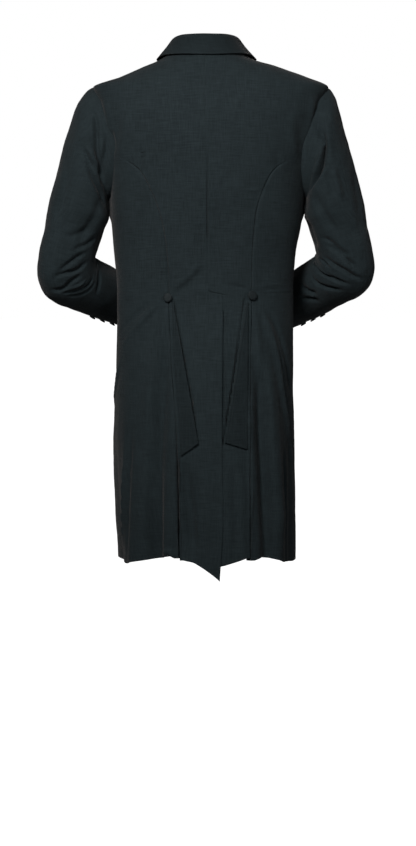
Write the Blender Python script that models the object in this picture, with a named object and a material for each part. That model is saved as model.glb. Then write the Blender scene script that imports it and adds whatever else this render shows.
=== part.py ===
"""A man's black frock coat, worn with bent arms, built as the cloth walls of its cut pieces.

Metres, +Z up. The coat faces -Y, its back faces +Y, and the wearer's left is +X.
The origin is the middle of the neck opening, level with the lower edge of the collar.

The trunk is one surface, body_point(turn, z): turn is the angle round the wearer in degrees, 0 at the
centre of the back, 90 at the wearer's left side, 180 at the front and -90 at the right side.
Each piece of cloth is a grid on that surface between its own seams, walled inwards.
"""

import math

import bpy
import numpy as np

for old in list(bpy.data.objects):
    bpy.data.objects.remove(old)

# ---- Driving sizes ---------------------------------------------------------------------------

CLOTH = 0.002  # wall of one layer of cloth
SEAM_GAP = 0.0003  # clear gap between two pieces at a seam
SEAM_TURN = 0.1  # half a seam gap as an angle round the wearer, in degrees
LAYER = CLOTH + 0.0008  # how far out a layer lies that covers another one

WAIST_Z = -0.470  # the waist seam
ARM_TOP, ARM_BOTTOM, ARM_HALF = -0.060, -0.285, 0.065  # the armhole: top, bottom, half its depth
BREAK_Z = -0.270  # where the lapels start to fold back
FRONT_LAP = 0.022  # how far each front passes the centre line
HIP_BUTTON, CUFF_BUTTON, FRONT_BUTTON = 0.020, 0.014, 0.020  # button diameters
BUTTON_SIDES = 16  # corners round a button
RETURN = 0.026  # how deep the cloth turns in at each pleat

# Trunk sections: height, half width on the wearer's left and right, depth behind and in front of
# the side line, and squareness (2 is an ellipse, more is boxier).
SECTIONS = np.array([
    # z       left   right  back   front  square
    (-1.060, 0.172, 0.171, 0.158, 0.162, 2.3),
    (-1.000, 0.174, 0.172, 0.156, 0.160, 2.3),
    (-0.900, 0.181, 0.172, 0.150, 0.155, 2.3),
    (-0.760, 0.187, 0.172, 0.138, 0.148, 2.3),
    (-0.620, 0.183, 0.171, 0.122, 0.138, 2.3),
    (-0.540, 0.181, 0.171, 0.104, 0.128, 2.3),
    (-0.470, 0.181, 0.171, 0.093, 0.122, 2.3),
    (-0.400, 0.186, 0.175, 0.097, 0.126, 2.35),
    (-0.330, 0.192, 0.188, 0.107, 0.131, 2.4),
    (-0.250, 0.197, 0.196, 0.117, 0.132, 2.5),
    (-0.175, 0.204, 0.206, 0.121, 0.126, 2.6),
    (-0.120, 0.214, 0.220, 0.117, 0.112, 2.6),
    (-0.085, 0.223, 0.232, 0.108, 0.098, 2.5),
    (-0.060, 0.229, 0.241, 0.099, 0.087, 2.4),
    (-0.040, 0.176, 0.200, 0.091, 0.077, 2.3),
    (-0.020, 0.130, 0.142, 0.081, 0.067, 2.2),
    (0.000, 0.089, 0.084, 0.071, 0.058, 2.1),
    (0.012, 0.077, 0.070, 0.065, 0.053, 2.0),
])

# Centre-back seam, and below the waist the inner edge of the right back: height and x.
CENTRE_SEAM = np.array([(-1.06, -0.002), (-0.47, -0.002), (-0.20, 0.003), (0.012, 0.005)])
# Free edge of the vent, on the left back, which lies over the right one: height and x.
VENT_EDGE = np.array([(-1.06, -0.022), (-0.90, -0.030), (-0.76, -0.028), (-0.474, -0.030)])
# Curved back seams from the armhole to the hip buttons: height, x on the left and on the right.
BACK_SEAM = np.array([
    (-0.470, 0.077, 0.087),
    (-0.420, 0.079, 0.088),
    (-0.360, 0.085, 0.091),
    (-0.300, 0.100, 0.099),
    (-0.244, 0.125, 0.121),
    (-0.220, 0.146, 0.142),
    (-0.195, 0.186, 0.186),
])
# Pleat lines from the hip buttons to the hem: height, x on the left and on the right.
PLEAT_LINE = np.array([
    (-1.060, 0.053, 0.082),
    (-0.900, 0.056, 0.083),
    (-0.740, 0.061, 0.084),
    (-0.600, 0.072, 0.085),
    (-0.470, 0.077, 0.087),
])
# Half the mouth of each pleat: height, left and right.
PLEAT_MOUTH = np.array([
    (-1.060, 0.0020, 0.0070),
    (-0.760, 0.0010, 0.0040),
    (-0.600, 0.0008, 0.0012),
    (-0.470, 0.0008, 0.0008),
])
# Side seam under the armhole: height and turn.
SIDE_SEAM = np.array([(-0.470, 84.0), (-0.400, 86.0), (-0.285, 90.0)])
# Roll line of the lapels, from the neck to the break: height and x.
ROLL_LINE = np.array([(BREAK_Z, -FRONT_LAP), (-0.180, 0.006), (-0.060, 0.044), (0.012, 0.060)])
# Outer edge of each lapel, as distance from its roll line: height and width.
LAPEL_WIDTH = np.array([(BREAK_Z, 0.006), (-0.220, 0.048), (-0.150, 0.076), (-0.080, 0.080)])

# Hem below the waist: turn and height. Positive turns are the wearer's left.
HEM = np.array([
    (-180.0, -1.000), (-130.0, -0.998), (-92.0, -1.000), (-70.0, -1.003), (-45.0, -0.998),
    (-33.0, -0.988), (-28.0, -0.986), (-12.0, -1.000), (0.0, -1.006), (20.0, -0.990),
    (24.0, -0.982), (35.0, -0.988), (60.0, -1.003), (92.0, -0.998), (130.0, -0.998),
    (180.0, -1.000),
])
VENT_TIP = -1.030  # the left back hangs lowest, at the free corner of the vent

# Large folds of the skirts and lower back: turn at the waist and at the hem, where the fold
# starts, half its width in degrees, and how far it stands out (or in) at the hem.
FOLDS = (
    # turn   at hem  starts   width  out
    (40.0, 36.0, -0.520, 6.0, -0.010),
    (52.0, 52.0, -0.560, 8.0, 0.010),
    (74.0, 78.0, -0.600, 7.0, -0.007),
    (100.0, 98.0, -0.560, 9.0, 0.006),
    (122.0, 124.0, -0.600, 8.0, -0.009),
    (148.0, 146.0, -0.560, 9.0, 0.008),
    (13.0, 8.0, -0.620, 6.0, -0.004),
    (-16.0, -20.0, -0.580, 6.0, 0.005),
    (-50.0, -48.0, -0.560, 7.0, 0.010),
    (-66.0, -72.0, -0.500, 6.0, -0.008),
    (-88.0, -92.0, -0.600, 8.0, 0.005),
    (-116.0, -114.0, -0.560, 8.0, -0.009),
    (-142.0, -140.0, -0.600, 9.0, 0.009),
)

# Sleeve head: the outermost point of each ring below the armhole on the left and on the right,
# then the point against the body, half the ring's depth front to back, and its middle's y. The
# right sleeve lies CLOSER to the middle against the body.
CLOSER = 0.003
SLEEVE_HEAD = (
    # left x   left z   right x  right z  body x  body z  half   y
    (0.2440, -0.0700, 0.2480, -0.0665, 0.1980, -0.2870, 0.069, 0.000),
    (0.2590, -0.0910, 0.2590, -0.0880, 0.1980, -0.2900, 0.073, 0.001),
    (0.2720, -0.1270, 0.2680, -0.1240, 0.1980, -0.2950, 0.074, 0.002),
    (0.2860, -0.1720, 0.2810, -0.1720, 0.1975, -0.3010, 0.072, 0.003),
    (0.3020, -0.2340, 0.2980, -0.2340, 0.1970, -0.3100, 0.068, 0.004),
    (0.3170, -0.2900, 0.3120, -0.2900, 0.1975, -0.3240, 0.065, 0.005),
)
# Arm: corner of the elbow and middle of the cuff, on each side.
ARMS = {
    "l": ((0.290, 0.000, -0.432), (0.150, -0.178, -0.498)),
    "r": ((-0.282, 0.000, -0.421), (-0.150, -0.172, -0.502)),
}
ELBOW_RADIUS = 0.066  # bend of the arm's centre line
SEAM_AT = 213.0  # where the inner sleeve seam leaves the armhole, in degrees from its back
# Arm rings below the sleeve head: share of its stretch, how far the ring is pushed towards the
# elbow's point, half width and half thickness.
UPPER_ARM = ((0.35, 0.000, 0.062, 0.058), (0.70, 0.000, 0.060, 0.055))
ELBOW = ((0.0, 0.001, 0.060, 0.053), (0.2, 0.003, 0.061, 0.052), (0.4, 0.006, 0.065, 0.052),
         (0.6, 0.007, 0.066, 0.052), (0.8, 0.003, 0.061, 0.052), (1.0, 0.000, 0.057, 0.052))
FOREARM = ((0.34, 0.000, 0.055, 0.051), (0.68, 0.000, 0.051, 0.049), (1.0, 0.000, 0.047, 0.045))
RING = 20  # points round a sleeve

# ---- Surfaces --------------------------------------------------------------------------------


def smooth(table, column, at):
    """The table's column at a height, through its rows as a smooth curve."""
    x, y = table[:, 0], table[:, column]
    at = float(min(max(at, x[0]), x[-1]))
    i = int(min(max(np.searchsorted(x, at) - 1, 0), len(x) - 2))
    step = x[i + 1] - x[i]
    t = (at - x[i]) / step
    rise = np.diff(y) / np.diff(x)

    def slope(k):
        if k == 0 or k == len(x) - 1:
            return rise[min(k, len(rise) - 1)]
        a, b = rise[k - 1], rise[k]
        return 0.0 if a * b <= 0 else 2 * a * b / (a + b)

    return float(
        (2 * t**3 - 3 * t**2 + 1) * y[i] + (t**3 - 2 * t**2 + t) * step * slope(i)
        + (3 * t**2 - 2 * t**3) * y[i + 1] + (t**3 - t**2) * step * slope(i + 1)
    )


def ease(t):
    """0 to 1, flat at both ends."""
    t = min(max(t, 0.0), 1.0)
    return t * t * (3 - 2 * t)


def fold_out(turn, z):
    """How far the large folds push the cloth out at this place."""
    total = 0.0
    for top, hem, start, width, out in FOLDS:
        down = (start - z) / (start + 1.0)
        if down > 0:
            middle = top + (hem - top) * down
            total += out * ease(down) * math.exp(-(((turn - middle) / width) ** 2))
    return total


def body_point(turn, z):
    """The outside of the cloth on the trunk."""
    s, c = math.sin(math.radians(turn)), math.cos(math.radians(turn))
    width = smooth(SECTIONS, 1 if s >= 0 else 2, z)
    depth = smooth(SECTIONS, 3 if c >= 0 else 4, z)
    square = smooth(SECTIONS, 5, z)
    k = (abs(s) ** square + abs(c) ** square) ** (-1 / square)
    out = fold_out(turn, z)
    return np.array([(width + out) * s * k, (depth + out) * c * k, z])


def body_frame(turn, z):
    """Point, outward normal, and the direction round the trunk towards larger turns."""
    z = min(z, 0.0115)
    around = body_point(turn + 0.5, z) - body_point(turn - 0.5, z)
    up = body_point(turn, z + 0.0005) - body_point(turn, z - 0.0005)
    normal = np.cross(around, up)
    length = np.linalg.norm(normal)
    return body_point(turn, z), -normal / length, around / np.linalg.norm(around)


def quarter_turn(share, square):
    """The turn from the middle line at which a section is this share of its half width across."""
    share = min(abs(share), 0.9999)
    return 0.0 if share < 1e-6 else math.degrees(math.atan((share**-square - 1) ** (-1 / square)))


def turn_at(x, z):
    """The turn at which the back has this x."""
    turn = quarter_turn(x / smooth(SECTIONS, 1 if x >= 0 else 2, z), smooth(SECTIONS, 5, z))
    return math.copysign(turn, x)


def turn_in_front(x, z, side):
    """The turn, as reached from one side, at which the front has this x."""
    turn = quarter_turn(x / smooth(SECTIONS, 1 if x >= 0 else 2, z), smooth(SECTIONS, 5, z))
    return side * (180 - math.copysign(turn, x * side))


def turn_at_depth(y, z, side):
    """The turn on one side at which the trunk has this y."""
    turn = quarter_turn(y / smooth(SECTIONS, 3 if y >= 0 else 4, z), smooth(SECTIONS, 5, z))
    return side * (90 - math.copysign(turn, y))


def armhole_half(z):
    """Half the armhole's depth at a height."""
    middle, half = (ARM_TOP + ARM_BOTTOM) / 2, (ARM_TOP - ARM_BOTTOM) / 2
    return ARM_HALF * math.sqrt(max(0.0, 1 - ((z - middle) / half) ** 2))


# ---- Making the pieces -----------------------------------------------------------------------

coat = bpy.data.collections.new("frock_coat")
bpy.context.scene.collection.children.link(coat)

WOOL = (0.012, 0.013, 0.014)
COVERED = (0.010, 0.010, 0.011)
SIDES = (("l", 1), ("r", -1))


def finish(name, points, faces, colour=WOOL):
    """One named object with its own material."""
    paint = bpy.data.materials.new(name + "_cloth")
    paint.use_nodes = True
    shader = paint.node_tree.nodes["Principled BSDF"]
    shader.inputs["Base Color"].default_value = (*colour, 1)
    shader.inputs["Roughness"].default_value = 0.9
    mesh = bpy.data.meshes.new(name)
    mesh.from_pydata([tuple(p) for p in points], [], faces)
    mesh.materials.append(paint)
    made = bpy.data.objects.new(name, mesh)
    coat.objects.link(made)
    return made


def wall(name, outer, inward):
    """A closed sheet: a grid of points on its outside, and the step inwards at each of them."""
    outer = np.array(outer, float)
    inner = outer + np.array(inward, float)
    rows, cols = outer.shape[:2]
    under = rows * cols
    faces = []
    for r in range(rows - 1):
        for c in range(cols - 1):
            a, b = r * cols + c, (r + 1) * cols + c
            faces += [(a, a + 1, b + 1, b), (under + b, under + b + 1, under + a + 1, under + a)]
    rim = list(range(cols)) + [r * cols + cols - 1 for r in range(1, rows)]
    rim += [(rows - 1) * cols + c for c in range(cols - 2, -1, -1)]
    rim += [r * cols for r in range(rows - 2, 0, -1)]
    faces += [(b, a, under + a, under + b) for a, b in zip(rim, rim[1:] + rim[:1])]
    middle = (rows // 2, cols // 2)
    across = outer[middle[0], middle[1]] - outer[middle[0], middle[1] - 1]
    up = outer[middle] - outer[middle[0] - 1, middle[1]]
    if np.dot(np.cross(across, up), inner[middle] - outer[middle]) > 0:
        faces = [face[::-1] for face in faces]
    return finish(name, np.concatenate([outer.reshape(-1, 3), inner.reshape(-1, 3)]), faces)


# The turned-in edge at a pleat: how far each point lies from the fold on a flat edge and on a
# full pleat, how deep it goes, and how much of its wall stands square to the fold.
TURNED = (
    # flat   pleat   deep    square
    (0.0150, 0.0040, 0.0000, 0.0),
    (0.0095, 0.0008, 0.0022, 0.5),
    (0.0045, 0.0000, 0.0080, 1.0),
    (0.0000, 0.0010, RETURN, 1.0),
)


def trunk_piece(name, columns, rows, back_edge, front_edge, side, lift=None, pleat=None):
    """A piece of cloth on one side of the trunk.

    rows lists, going up, the height of each row as a function of the share across from the back
    edge to the front edge. The edges give the turn at a height and lift how far the cloth lies
    out at a place. pleat is "back" or "front" for the edge that turns in below the waist.
    """
    outer, inward = [], []
    for height in rows:
        line, steps = [], []
        for i in range(columns + 1):
            share = i / columns
            z = height(share)
            turn = back_edge(z) + share * (front_edge(z) - back_edge(z))
            point, normal, around = body_frame(turn, z)
            if lift:
                point = point + normal * lift(point)
            if pleat and i == (columns if pleat == "front" else 0):
                full = ease((WAIST_Z + 0.004 - z) / 0.05)
                away = around * (side if pleat == "front" else -side)
                turned, walls = [], []
                for flat, folded, deep, square in TURNED:
                    off = flat + (folded - flat) * full
                    turned.append(point - away * off - normal * deep * full)
                    on = square * full
                    walls.append(-(normal * min(1, 2 - 2 * on) + away * min(1, 2 * on)) * CLOTH)
                if pleat == "back":
                    turned.reverse()
                    walls.reverse()
                line += turned
                steps += walls
            else:
                line.append(point)
                steps.append(-normal * CLOTH)
        outer.append(line)
        inward.append(steps)
    return wall(name, outer, inward)


def levels(*heights):
    return [lambda share, z=z: z for z in heights]


def hanging(top, low, *shares):
    """Rows from the hem, whose height low gives at a share across, up to a level top."""
    return [lambda share, v=v: low(share) + v * (top - low(share)) for v in shares]


def hem_at(turn):
    return float(np.interp(turn, HEM[:, 0], HEM[:, 1]))


# ---- Backs -----------------------------------------------------------------------------------
# Each back is cut in one from the neck to the hem. Below the waist the left one passes the
# centre and lies over the right one, which makes the vent.


def back_inner(side):
    def edge(z):
        if side > 0 and z < WAIST_Z:
            return turn_at(smooth(VENT_EDGE, 1, z), z)
        return turn_at(smooth(CENTRE_SEAM, 1, z), z) + side * SEAM_TURN

    return edge


def back_outer(side):
    """Pleat line, curved back seam, armhole and shoulder seam, going up."""
    column = 1 if side > 0 else 2

    def edge(z):
        if z <= WAIST_Z:
            x = smooth(PLEAT_LINE, column, z) - smooth(PLEAT_MOUTH, column, z)
            return turn_at(side * x, z)
        if z < BACK_SEAM[-1, 0]:
            return turn_at(side * smooth(BACK_SEAM, column, z), z) - side * SEAM_TURN
        if z < ARM_TOP:
            return turn_at_depth(armhole_half(z), z, side)
        return side * (90 - SEAM_TURN)

    return edge


def vent_lift(point):
    """The left back lies on the right one where it passes the centre below the waist."""
    below = ease((-0.450 - point[2]) / 0.015)
    return LAYER * below * ease((0.036 - point[0]) / 0.020) if point[1] > 0 else 0.0


def back_hem(side):
    """Height of a back's hem at a share across it. The left one drops to the corner of the vent."""

    def low(share):
        if side > 0:
            return hem_at(share * 20) + (VENT_TIP - hem_at(0)) * max(0.0, 1 - 1.3 * share) ** 1.4
        return hem_at(share * -28)

    return low


BACK_LEVELS = levels(
    -0.475, -0.466, -0.435, -0.395, -0.355, -0.315, -0.280, -0.250, -0.225, -0.206, -0.194,
    -0.172, -0.140, -0.110, -0.086, -0.070, -0.0620, -0.0595, -0.050, -0.036, -0.020, -0.004, 0.0115,
)
for tag, side in SIDES:
    skirt_rows = hanging(-0.475, back_hem(side), 0.0, 0.09, 0.19, 0.30, 0.42, 0.54, 0.66, 0.78, 0.88, 0.95)
    trunk_piece(
        "back_" + tag, 5, skirt_rows + BACK_LEVELS, back_inner(side), back_outer(side), side,
        lift=vent_lift if side > 0 else None, pleat="front",
    )

# ---- Side bodies -----------------------------------------------------------------------------
# From the curved back seam to the side seam, between the waist and the armhole.


def side_back_edge(side):
    column = 1 if side > 0 else 2
    return lambda z: turn_at(side * smooth(BACK_SEAM, column, z), z) + side * 2 * SEAM_TURN


def side_front_edge(side):
    def edge(z):
        if z < ARM_BOTTOM:
            return side * (smooth(SIDE_SEAM, 1, z) - SEAM_TURN)
        return turn_at_depth(armhole_half(z), z, side)

    return edge


SIDE_LEVELS = levels(
    WAIST_Z + 0.0002, -0.435, -0.395, -0.355, -0.315, -0.2855, -0.2835, -0.280, -0.268, -0.250,
    -0.225, -0.206, -0.1965,
)
for tag, side in SIDES:
    trunk_piece("side_body_" + tag, 3, SIDE_LEVELS, side_back_edge(side), side_front_edge(side), side)

# ---- Fronts and lapels -----------------------------------------------------------------------
# The left front laps over the right one. Each lapel is folded back on its front from the break.


def front_back_edge(side):
    """Side seam, armhole and shoulder seam, going up."""

    def edge(z):
        if z < ARM_BOTTOM:
            return side * (smooth(SIDE_SEAM, 1, z) + SEAM_TURN)
        if z < ARM_TOP:
            return turn_at_depth(-armhole_half(z), z, side)
        return side * (90 + SEAM_TURN)

    return edge


def front_edge(side):
    def edge(z):
        x = smooth(ROLL_LINE, 1, z) if z > BREAK_Z else -FRONT_LAP
        return turn_in_front(side * x, z, side)

    return edge


def lap_lift(point):
    """The left front and skirt lie on the right ones where they pass the centre."""
    return LAYER * ease((0.080 - point[0]) / 0.040) if point[1] < 0 else 0.0


def lapel_inner(side):
    def edge(z):
        x = smooth(ROLL_LINE, 1, z)
        if side < 0:  # only what shows beside the left front
            x = max(x, 0.003 - x)
        return turn_in_front(side * (x + 0.0008), z, side)

    return edge


def lapel_outer(side):
    def edge(z):
        x = max(smooth(ROLL_LINE, 1, z), 0.003 if side < 0 else -1) + smooth(LAPEL_WIDTH, 1, z)
        return turn_in_front(side * x, z, side)

    return edge


FRONT_LEVELS = levels(
    WAIST_Z + 0.0002, -0.420, -0.370, -0.325, -0.2855, -0.2835, -0.277, -0.264, -0.240, -0.205,
    -0.172, -0.138, -0.110, -0.086, -0.070, -0.0620, -0.0595, -0.046, -0.030, -0.012, 0.0115,
)
LAPEL_ROWS = [lambda share, v=v: BREAK_Z + 0.004 + v * (0.198 - 0.020 * share)
              for v in (0.0, 0.14, 0.3, 0.5, 0.7, 0.86, 1.0)]
for tag, side in SIDES:
    lift = lap_lift if side > 0 else None
    trunk_piece("front_" + tag, 7, FRONT_LEVELS, front_back_edge(side), front_edge(side), side, lift)
    trunk_piece(
        "lapel_" + tag, 3, LAPEL_ROWS, lapel_outer(side), lapel_inner(side), side,
        lift=lambda point, lift=lift: LAYER + 0.0006 + (lift(point) if lift else 0.0),
    )

# ---- Skirts ----------------------------------------------------------------------------------
# From the waist seam to the hem, and from the pleat round to the front edge.


def skirt_back_edge(side):
    column = 1 if side > 0 else 2

    def edge(z):
        x = smooth(PLEAT_LINE, column, z) + smooth(PLEAT_MOUTH, column, z)
        return turn_at(side * x, z)

    return edge


def skirt_hem(side):
    return lambda share: hem_at(side * (22 + 158 * share))


for tag, side in SIDES:
    rows = hanging(WAIST_Z - 0.0002, skirt_hem(side), 0.0, 0.06, 0.16, 0.28, 0.4, 0.53, 0.66, 0.8, 0.91, 1.0)
    trunk_piece(
        "skirt_" + tag, 17, rows, skirt_back_edge(side), front_edge(side), side,
        lift=lap_lift if side > 0 else None, pleat="back",
    )

# ---- Side edges ------------------------------------------------------------------------------
# A pointed flap in each back pleat, lying on the back from the hip button down.

FLAPS = {
    # height of the top, then height and x of the free corner, and height of the sewn corner
    "l": (-0.492, -0.764, 0.0170, -0.788),
    "r": (-0.490, -0.762, 0.0330, -0.776),
}
for tag, side in SIDES:
    top, corner_z, corner_x, sewn_z = FLAPS[tag]
    column = 1 if side > 0 else 2

    def sewn(z, side=side, column=column):
        return turn_at(side * (smooth(PLEAT_LINE, column, z) - 0.0065), z)

    def free(z, side=side, column=column, top=top, low=corner_z, x=corner_x):
        start = smooth(PLEAT_LINE, column, top) - 0.010
        return turn_at(side * (start + (x - start) * (z - top) / (low - top)), z)

    rows = [lambda share, v=v, a=corner_z, b=sewn_z, t=top: (a + (b - a) * share) * (1 - v) + t * v
            for v in (0.0, 0.15, 0.35, 0.55, 0.75, 0.9, 1.0)]
    trunk_piece(
        "pleat_flap_" + tag, 2, rows, free, sewn, side,
        lift=lambda point, side=side: LAYER + 0.0006 + (vent_lift(point) if side > 0 else 0.0),
    )

# ---- Collar ----------------------------------------------------------------------------------
# One sheet: the stand rises from the neckline, folds over, and the fall lies on the shoulders.

COLLAR = np.array([
    # along  stand   lean   reach  lying down; up to 131 along is the turn at the neckline, and
    # beyond it each step of one is a millimetre down the roll line
    (0, 0.0300, 0.007, 0.0150, 0.0),
    (40, 0.0300, 0.010, 0.0165, 0.0),
    (70, 0.0300, 0.015, 0.0185, 0.0),
    (90, 0.0285, 0.016, 0.0210, 0.0),
    (112, 0.0240, 0.010, 0.0290, 0.2),
    (131, 0.0190, 0.004, 0.0360, 0.5),
    (155, 0.0090, 0.000, 0.0440, 0.9),
    (197, 0.0062, 0.000, 0.0460, 1.0),
])
COLLAR_STATIONS = (0, 16, 32, 46, 58, 69, 79, 88, 97, 108, 119, 131, 145, 168, 197)


def unit(vector):
    return vector / np.linalg.norm(vector)


def on_body(point, out):
    """The place on the trunk level with a point and in line with it, moved out."""
    x, y, z = point
    across = x / smooth(SECTIONS, 1 if x >= 0 else 2, z)
    along = y / smooth(SECTIONS, 3 if y >= 0 else 4, z)
    found, normal, _ = body_frame(math.degrees(math.atan2(across, along)), z)
    return found + normal * out


def collar_section(station, side):
    stand, lean, reach, lying = (smooth(COLLAR, column, station) for column in (1, 2, 3, 4))
    z = 0.0115 - max(0, station - 131) * 0.001
    turn = side * station if station <= 131 else side * front_edge(1)(z)
    base, normal, around = body_frame(turn, z)
    below = unit(body_point(turn, z - 0.008) - base)
    across = unit(np.cross(normal, unit(np.array([-0.36 * side, 0, -0.93])))) * side
    down = unit(below * (1 - lying) + across * lying)
    radial = unit(np.array([base[0], base[1], 0]))
    up = unit(np.array([0, 0, 1.0]) * (1 - lying) + normal * lying)
    away = unit(radial * (1 - lying) + down * lying)
    out = LAYER + 0.0034
    edge = on_body(base + down * reach, out)
    fold = base + up * stand - away * lean
    middle = edge * 0.55 + fold * 0.45 + (normal + up) * 0.0012
    if lying > 0:
        rest = on_body(base + down * reach * 0.5, out + 0.001)
        middle = middle * (1 - lying) + rest * lying
    return [
        edge,
        middle,
        edge * 0.2 + fold * 0.8 + unit(normal + up + away) * 0.0042,
        fold + up * 0.0006 + away * 0.0022,
        fold - away * 0.0024,
        base * 0.45 + fold * 0.55 - away * 0.0034,
        base + up * 0.0010 - away * 0.0022,
    ]


def grid_normals(grid, ring=False):
    """Unit normals of a grid of points, from its neighbours. ring closes each row on itself."""
    if ring:
        across = np.roll(grid, -1, axis=1) - np.roll(grid, 1, axis=1)
    else:
        across = np.gradient(grid, axis=1)
    normal = np.cross(across, np.gradient(grid, axis=0))
    return normal / np.linalg.norm(normal, axis=2, keepdims=True)


collar = np.array(
    [collar_section(station, -1) for station in COLLAR_STATIONS[:0:-1]]
    + [collar_section(station, 1) for station in COLLAR_STATIONS]
)
normals = grid_normals(collar)
if normals[len(collar) // 2, 0, 1] < 0:
    normals = -normals
wall("collar", collar, -normals * CLOTH)

# ---- Sleeves ---------------------------------------------------------------------------------
# Two pieces each: a top sleeve outside and an under sleeve against the body, with seams along
# the inner bend of the arm and along its back.


def sleeve_rings(tag, side):
    """Rings of points from the armhole to the cuff, and the frame of each forearm ring."""
    turns = [math.radians(SEAM_AT - 360 * k / RING) for k in range(RING)]
    rings = []
    middle, half = (ARM_TOP + ARM_BOTTOM) / 2, (ARM_TOP - ARM_BOTTOM) / 2
    loop = []
    for t in turns:
        y, z = ARM_HALF * math.cos(t), middle + half * math.sin(t)
        point, normal, _ = body_frame(turn_at_depth(y, z, side), z)
        loop.append(point + normal * 0.0012)
    rings.append(loop)
    for lx, lz, rx, rz, ux, uz, deep, y in SLEEVE_HEAD:
        ox, oz, ux = (lx, lz, ux) if side > 0 else (rx, rz, ux - CLOSER)
        centre = np.array([side * (ox + ux) / 2, y, (oz + uz) / 2])
        rise = np.array([side * (ox - ux) / 2, 0, (oz - uz) / 2])
        rings.append([centre + rise * math.sin(t) + np.array([0, deep, 0]) * math.cos(t) for t in turns])
    elbow, cuff = (np.array(p) for p in ARMS[tag])
    down = unit(elbow - centre)
    fore = unit(cuff - elbow)
    bend = math.acos(np.dot(down, fore))
    forward = unit(fore - down * np.dot(down, fore))
    outward = unit(np.cross(down, forward)) * 1.0
    if outward[0] * side < 0:
        outward = -outward
    corner = ELBOW_RADIUS * math.tan(bend / 2)
    straight = np.linalg.norm(elbow - centre) - corner
    pivot = centre + down * straight + forward * ELBOW_RADIUS
    fore_start = elbow + fore * corner
    fore_length = np.linalg.norm(cuff - fore_start)
    frames = [(centre + down * straight * s, forward, w, t) for s, _, w, t in UPPER_ARM]
    for s, push, w, t in ELBOW:
        a = bend * s
        inner = forward * math.cos(a) - down * math.sin(a)
        frames.append((pivot - inner * (ELBOW_RADIUS + push), inner, w, t))
    inner = forward * math.cos(bend) - down * math.sin(bend)
    frames += [(fore_start + fore * fore_length * s, inner, w, t) for s, _, w, t in FOREARM]
    for at, inner, w, t in frames:
        rings.append([
            at + inner * w * math.cos(2 * math.pi * k / RING) + outward * t * math.sin(2 * math.pi * k / RING)
            for k in range(RING)
        ])
    return np.array(rings), (fore_start, fore, fore_length, inner, outward)


def sleeve_piece(name, rings, normals, first, last):
    """The part of a sleeve between two seams, which are columns of its rings."""
    index = [k % RING for k in range(first, last + 1)]
    outer = rings[:, index].copy()
    for edge, beside in ((0, 1), (-1, -2)):
        step = outer[:, beside] - outer[:, edge]
        outer[:, edge] += step / np.linalg.norm(step, axis=1, keepdims=True) * SEAM_GAP * 0.6
    return wall(name, outer, -normals[:, index] * CLOTH)


def button(name, at, normal, across):
    """A covered button: a low dome, just clear of the cloth that it is sewn to."""
    thick = across * 0.28
    side_a = unit(np.cross(normal, [0.3, 0.2, 1.0]))
    side_b = np.cross(normal, side_a)
    middle = at + normal * (thick / 2 + 0.0004)
    profile = ((-0.5, 0.0), (-0.5, 0.62), (-0.22, 0.93), (0.0, 1.0), (0.2, 0.92), (0.4, 0.62), (0.5, 0.0))
    points, faces, n = [], [], BUTTON_SIDES
    for up, wide in profile:
        for k in range(n if wide else 1):
            a = 2 * math.pi * k / n
            spread = (side_a * math.cos(a) + side_b * math.sin(a)) * wide * across / 2
            points.append(middle + normal * up * thick + spread)
    for k in range(n):
        faces.append((0, 1 + (k + 1) % n, 1 + k))
        for r in range(len(profile) - 3):
            a, b = 1 + r * n, 1 + (r + 1) * n
            faces.append((a + k, a + (k + 1) % n, b + (k + 1) % n, b + k))
        a = 1 + (len(profile) - 3) * n
        faces.append((a + k, a + (k + 1) % n, len(points) - 1))
    return finish(name, points, faces, COVERED)


CUFF_BUTTONS_AT = (0.036, 0.067, 0.098)  # distances from the end of the sleeve
for tag, side in SIDES:
    rings, (start, fore, length, inner, outward) = sleeve_rings(tag, side)
    normals = grid_normals(rings, ring=True)
    if np.dot(normals[-1, 0], inner) < 0:
        normals = -normals
    half = RING // 2
    sleeve_piece("sleeve_top_" + tag, rings, normals, 0, half)
    sleeve_piece("sleeve_under_" + tag, rings, normals, half, RING)
    shares, _, widths, thicks = zip((0.0, *ELBOW[-1][1:]), *FOREARM)
    for number, distance in enumerate(CUFF_BUTTONS_AT, 1):
        share = 1 - distance / length
        w, t = np.interp(share, shares, widths), np.interp(share, shares, thicks)
        a = math.radians(168)
        at = start + fore * length * share + inner * w * math.cos(a) + outward * t * math.sin(a)
        normal = unit(inner * math.cos(a) / w + outward * math.sin(a) / t)
        button(f"cuff_button_{tag}{number}", at, normal, CUFF_BUTTON)

# ---- Buttons of the trunk --------------------------------------------------------------------

HIP_BUTTONS = {"l": (0.0775, -0.480), "r": (-0.0875, -0.4755)}
for tag, (x, z) in HIP_BUTTONS.items():
    point, normal, _ = body_frame(turn_at(x, z), z)
    button("hip_button_" + tag, point + normal * 0.0012, normal, HIP_BUTTON)

FRONT_BUTTONS_Z = (-0.300, -0.375, -0.450)
for number, z in enumerate(FRONT_BUTTONS_Z, 1):
    point, normal, _ = body_frame(turn_in_front(0.0, z, 1), z)
    button(f"front_button_{number}", point + normal * (LAYER + 0.0004), normal, FRONT_BUTTON)
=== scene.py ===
"""A man's black wool frock coat, worn with bent arms and seen from behind.

Metres, +Z up. The coat faces -Y, its back faces +Y, and the wearer's left is +X. The origin is the
middle of the neck opening. Each cut piece of cloth is a thin closed shell with its own creases.
"""
import math

import bpy
import numpy as np
from mathutils import Matrix, Vector


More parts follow.
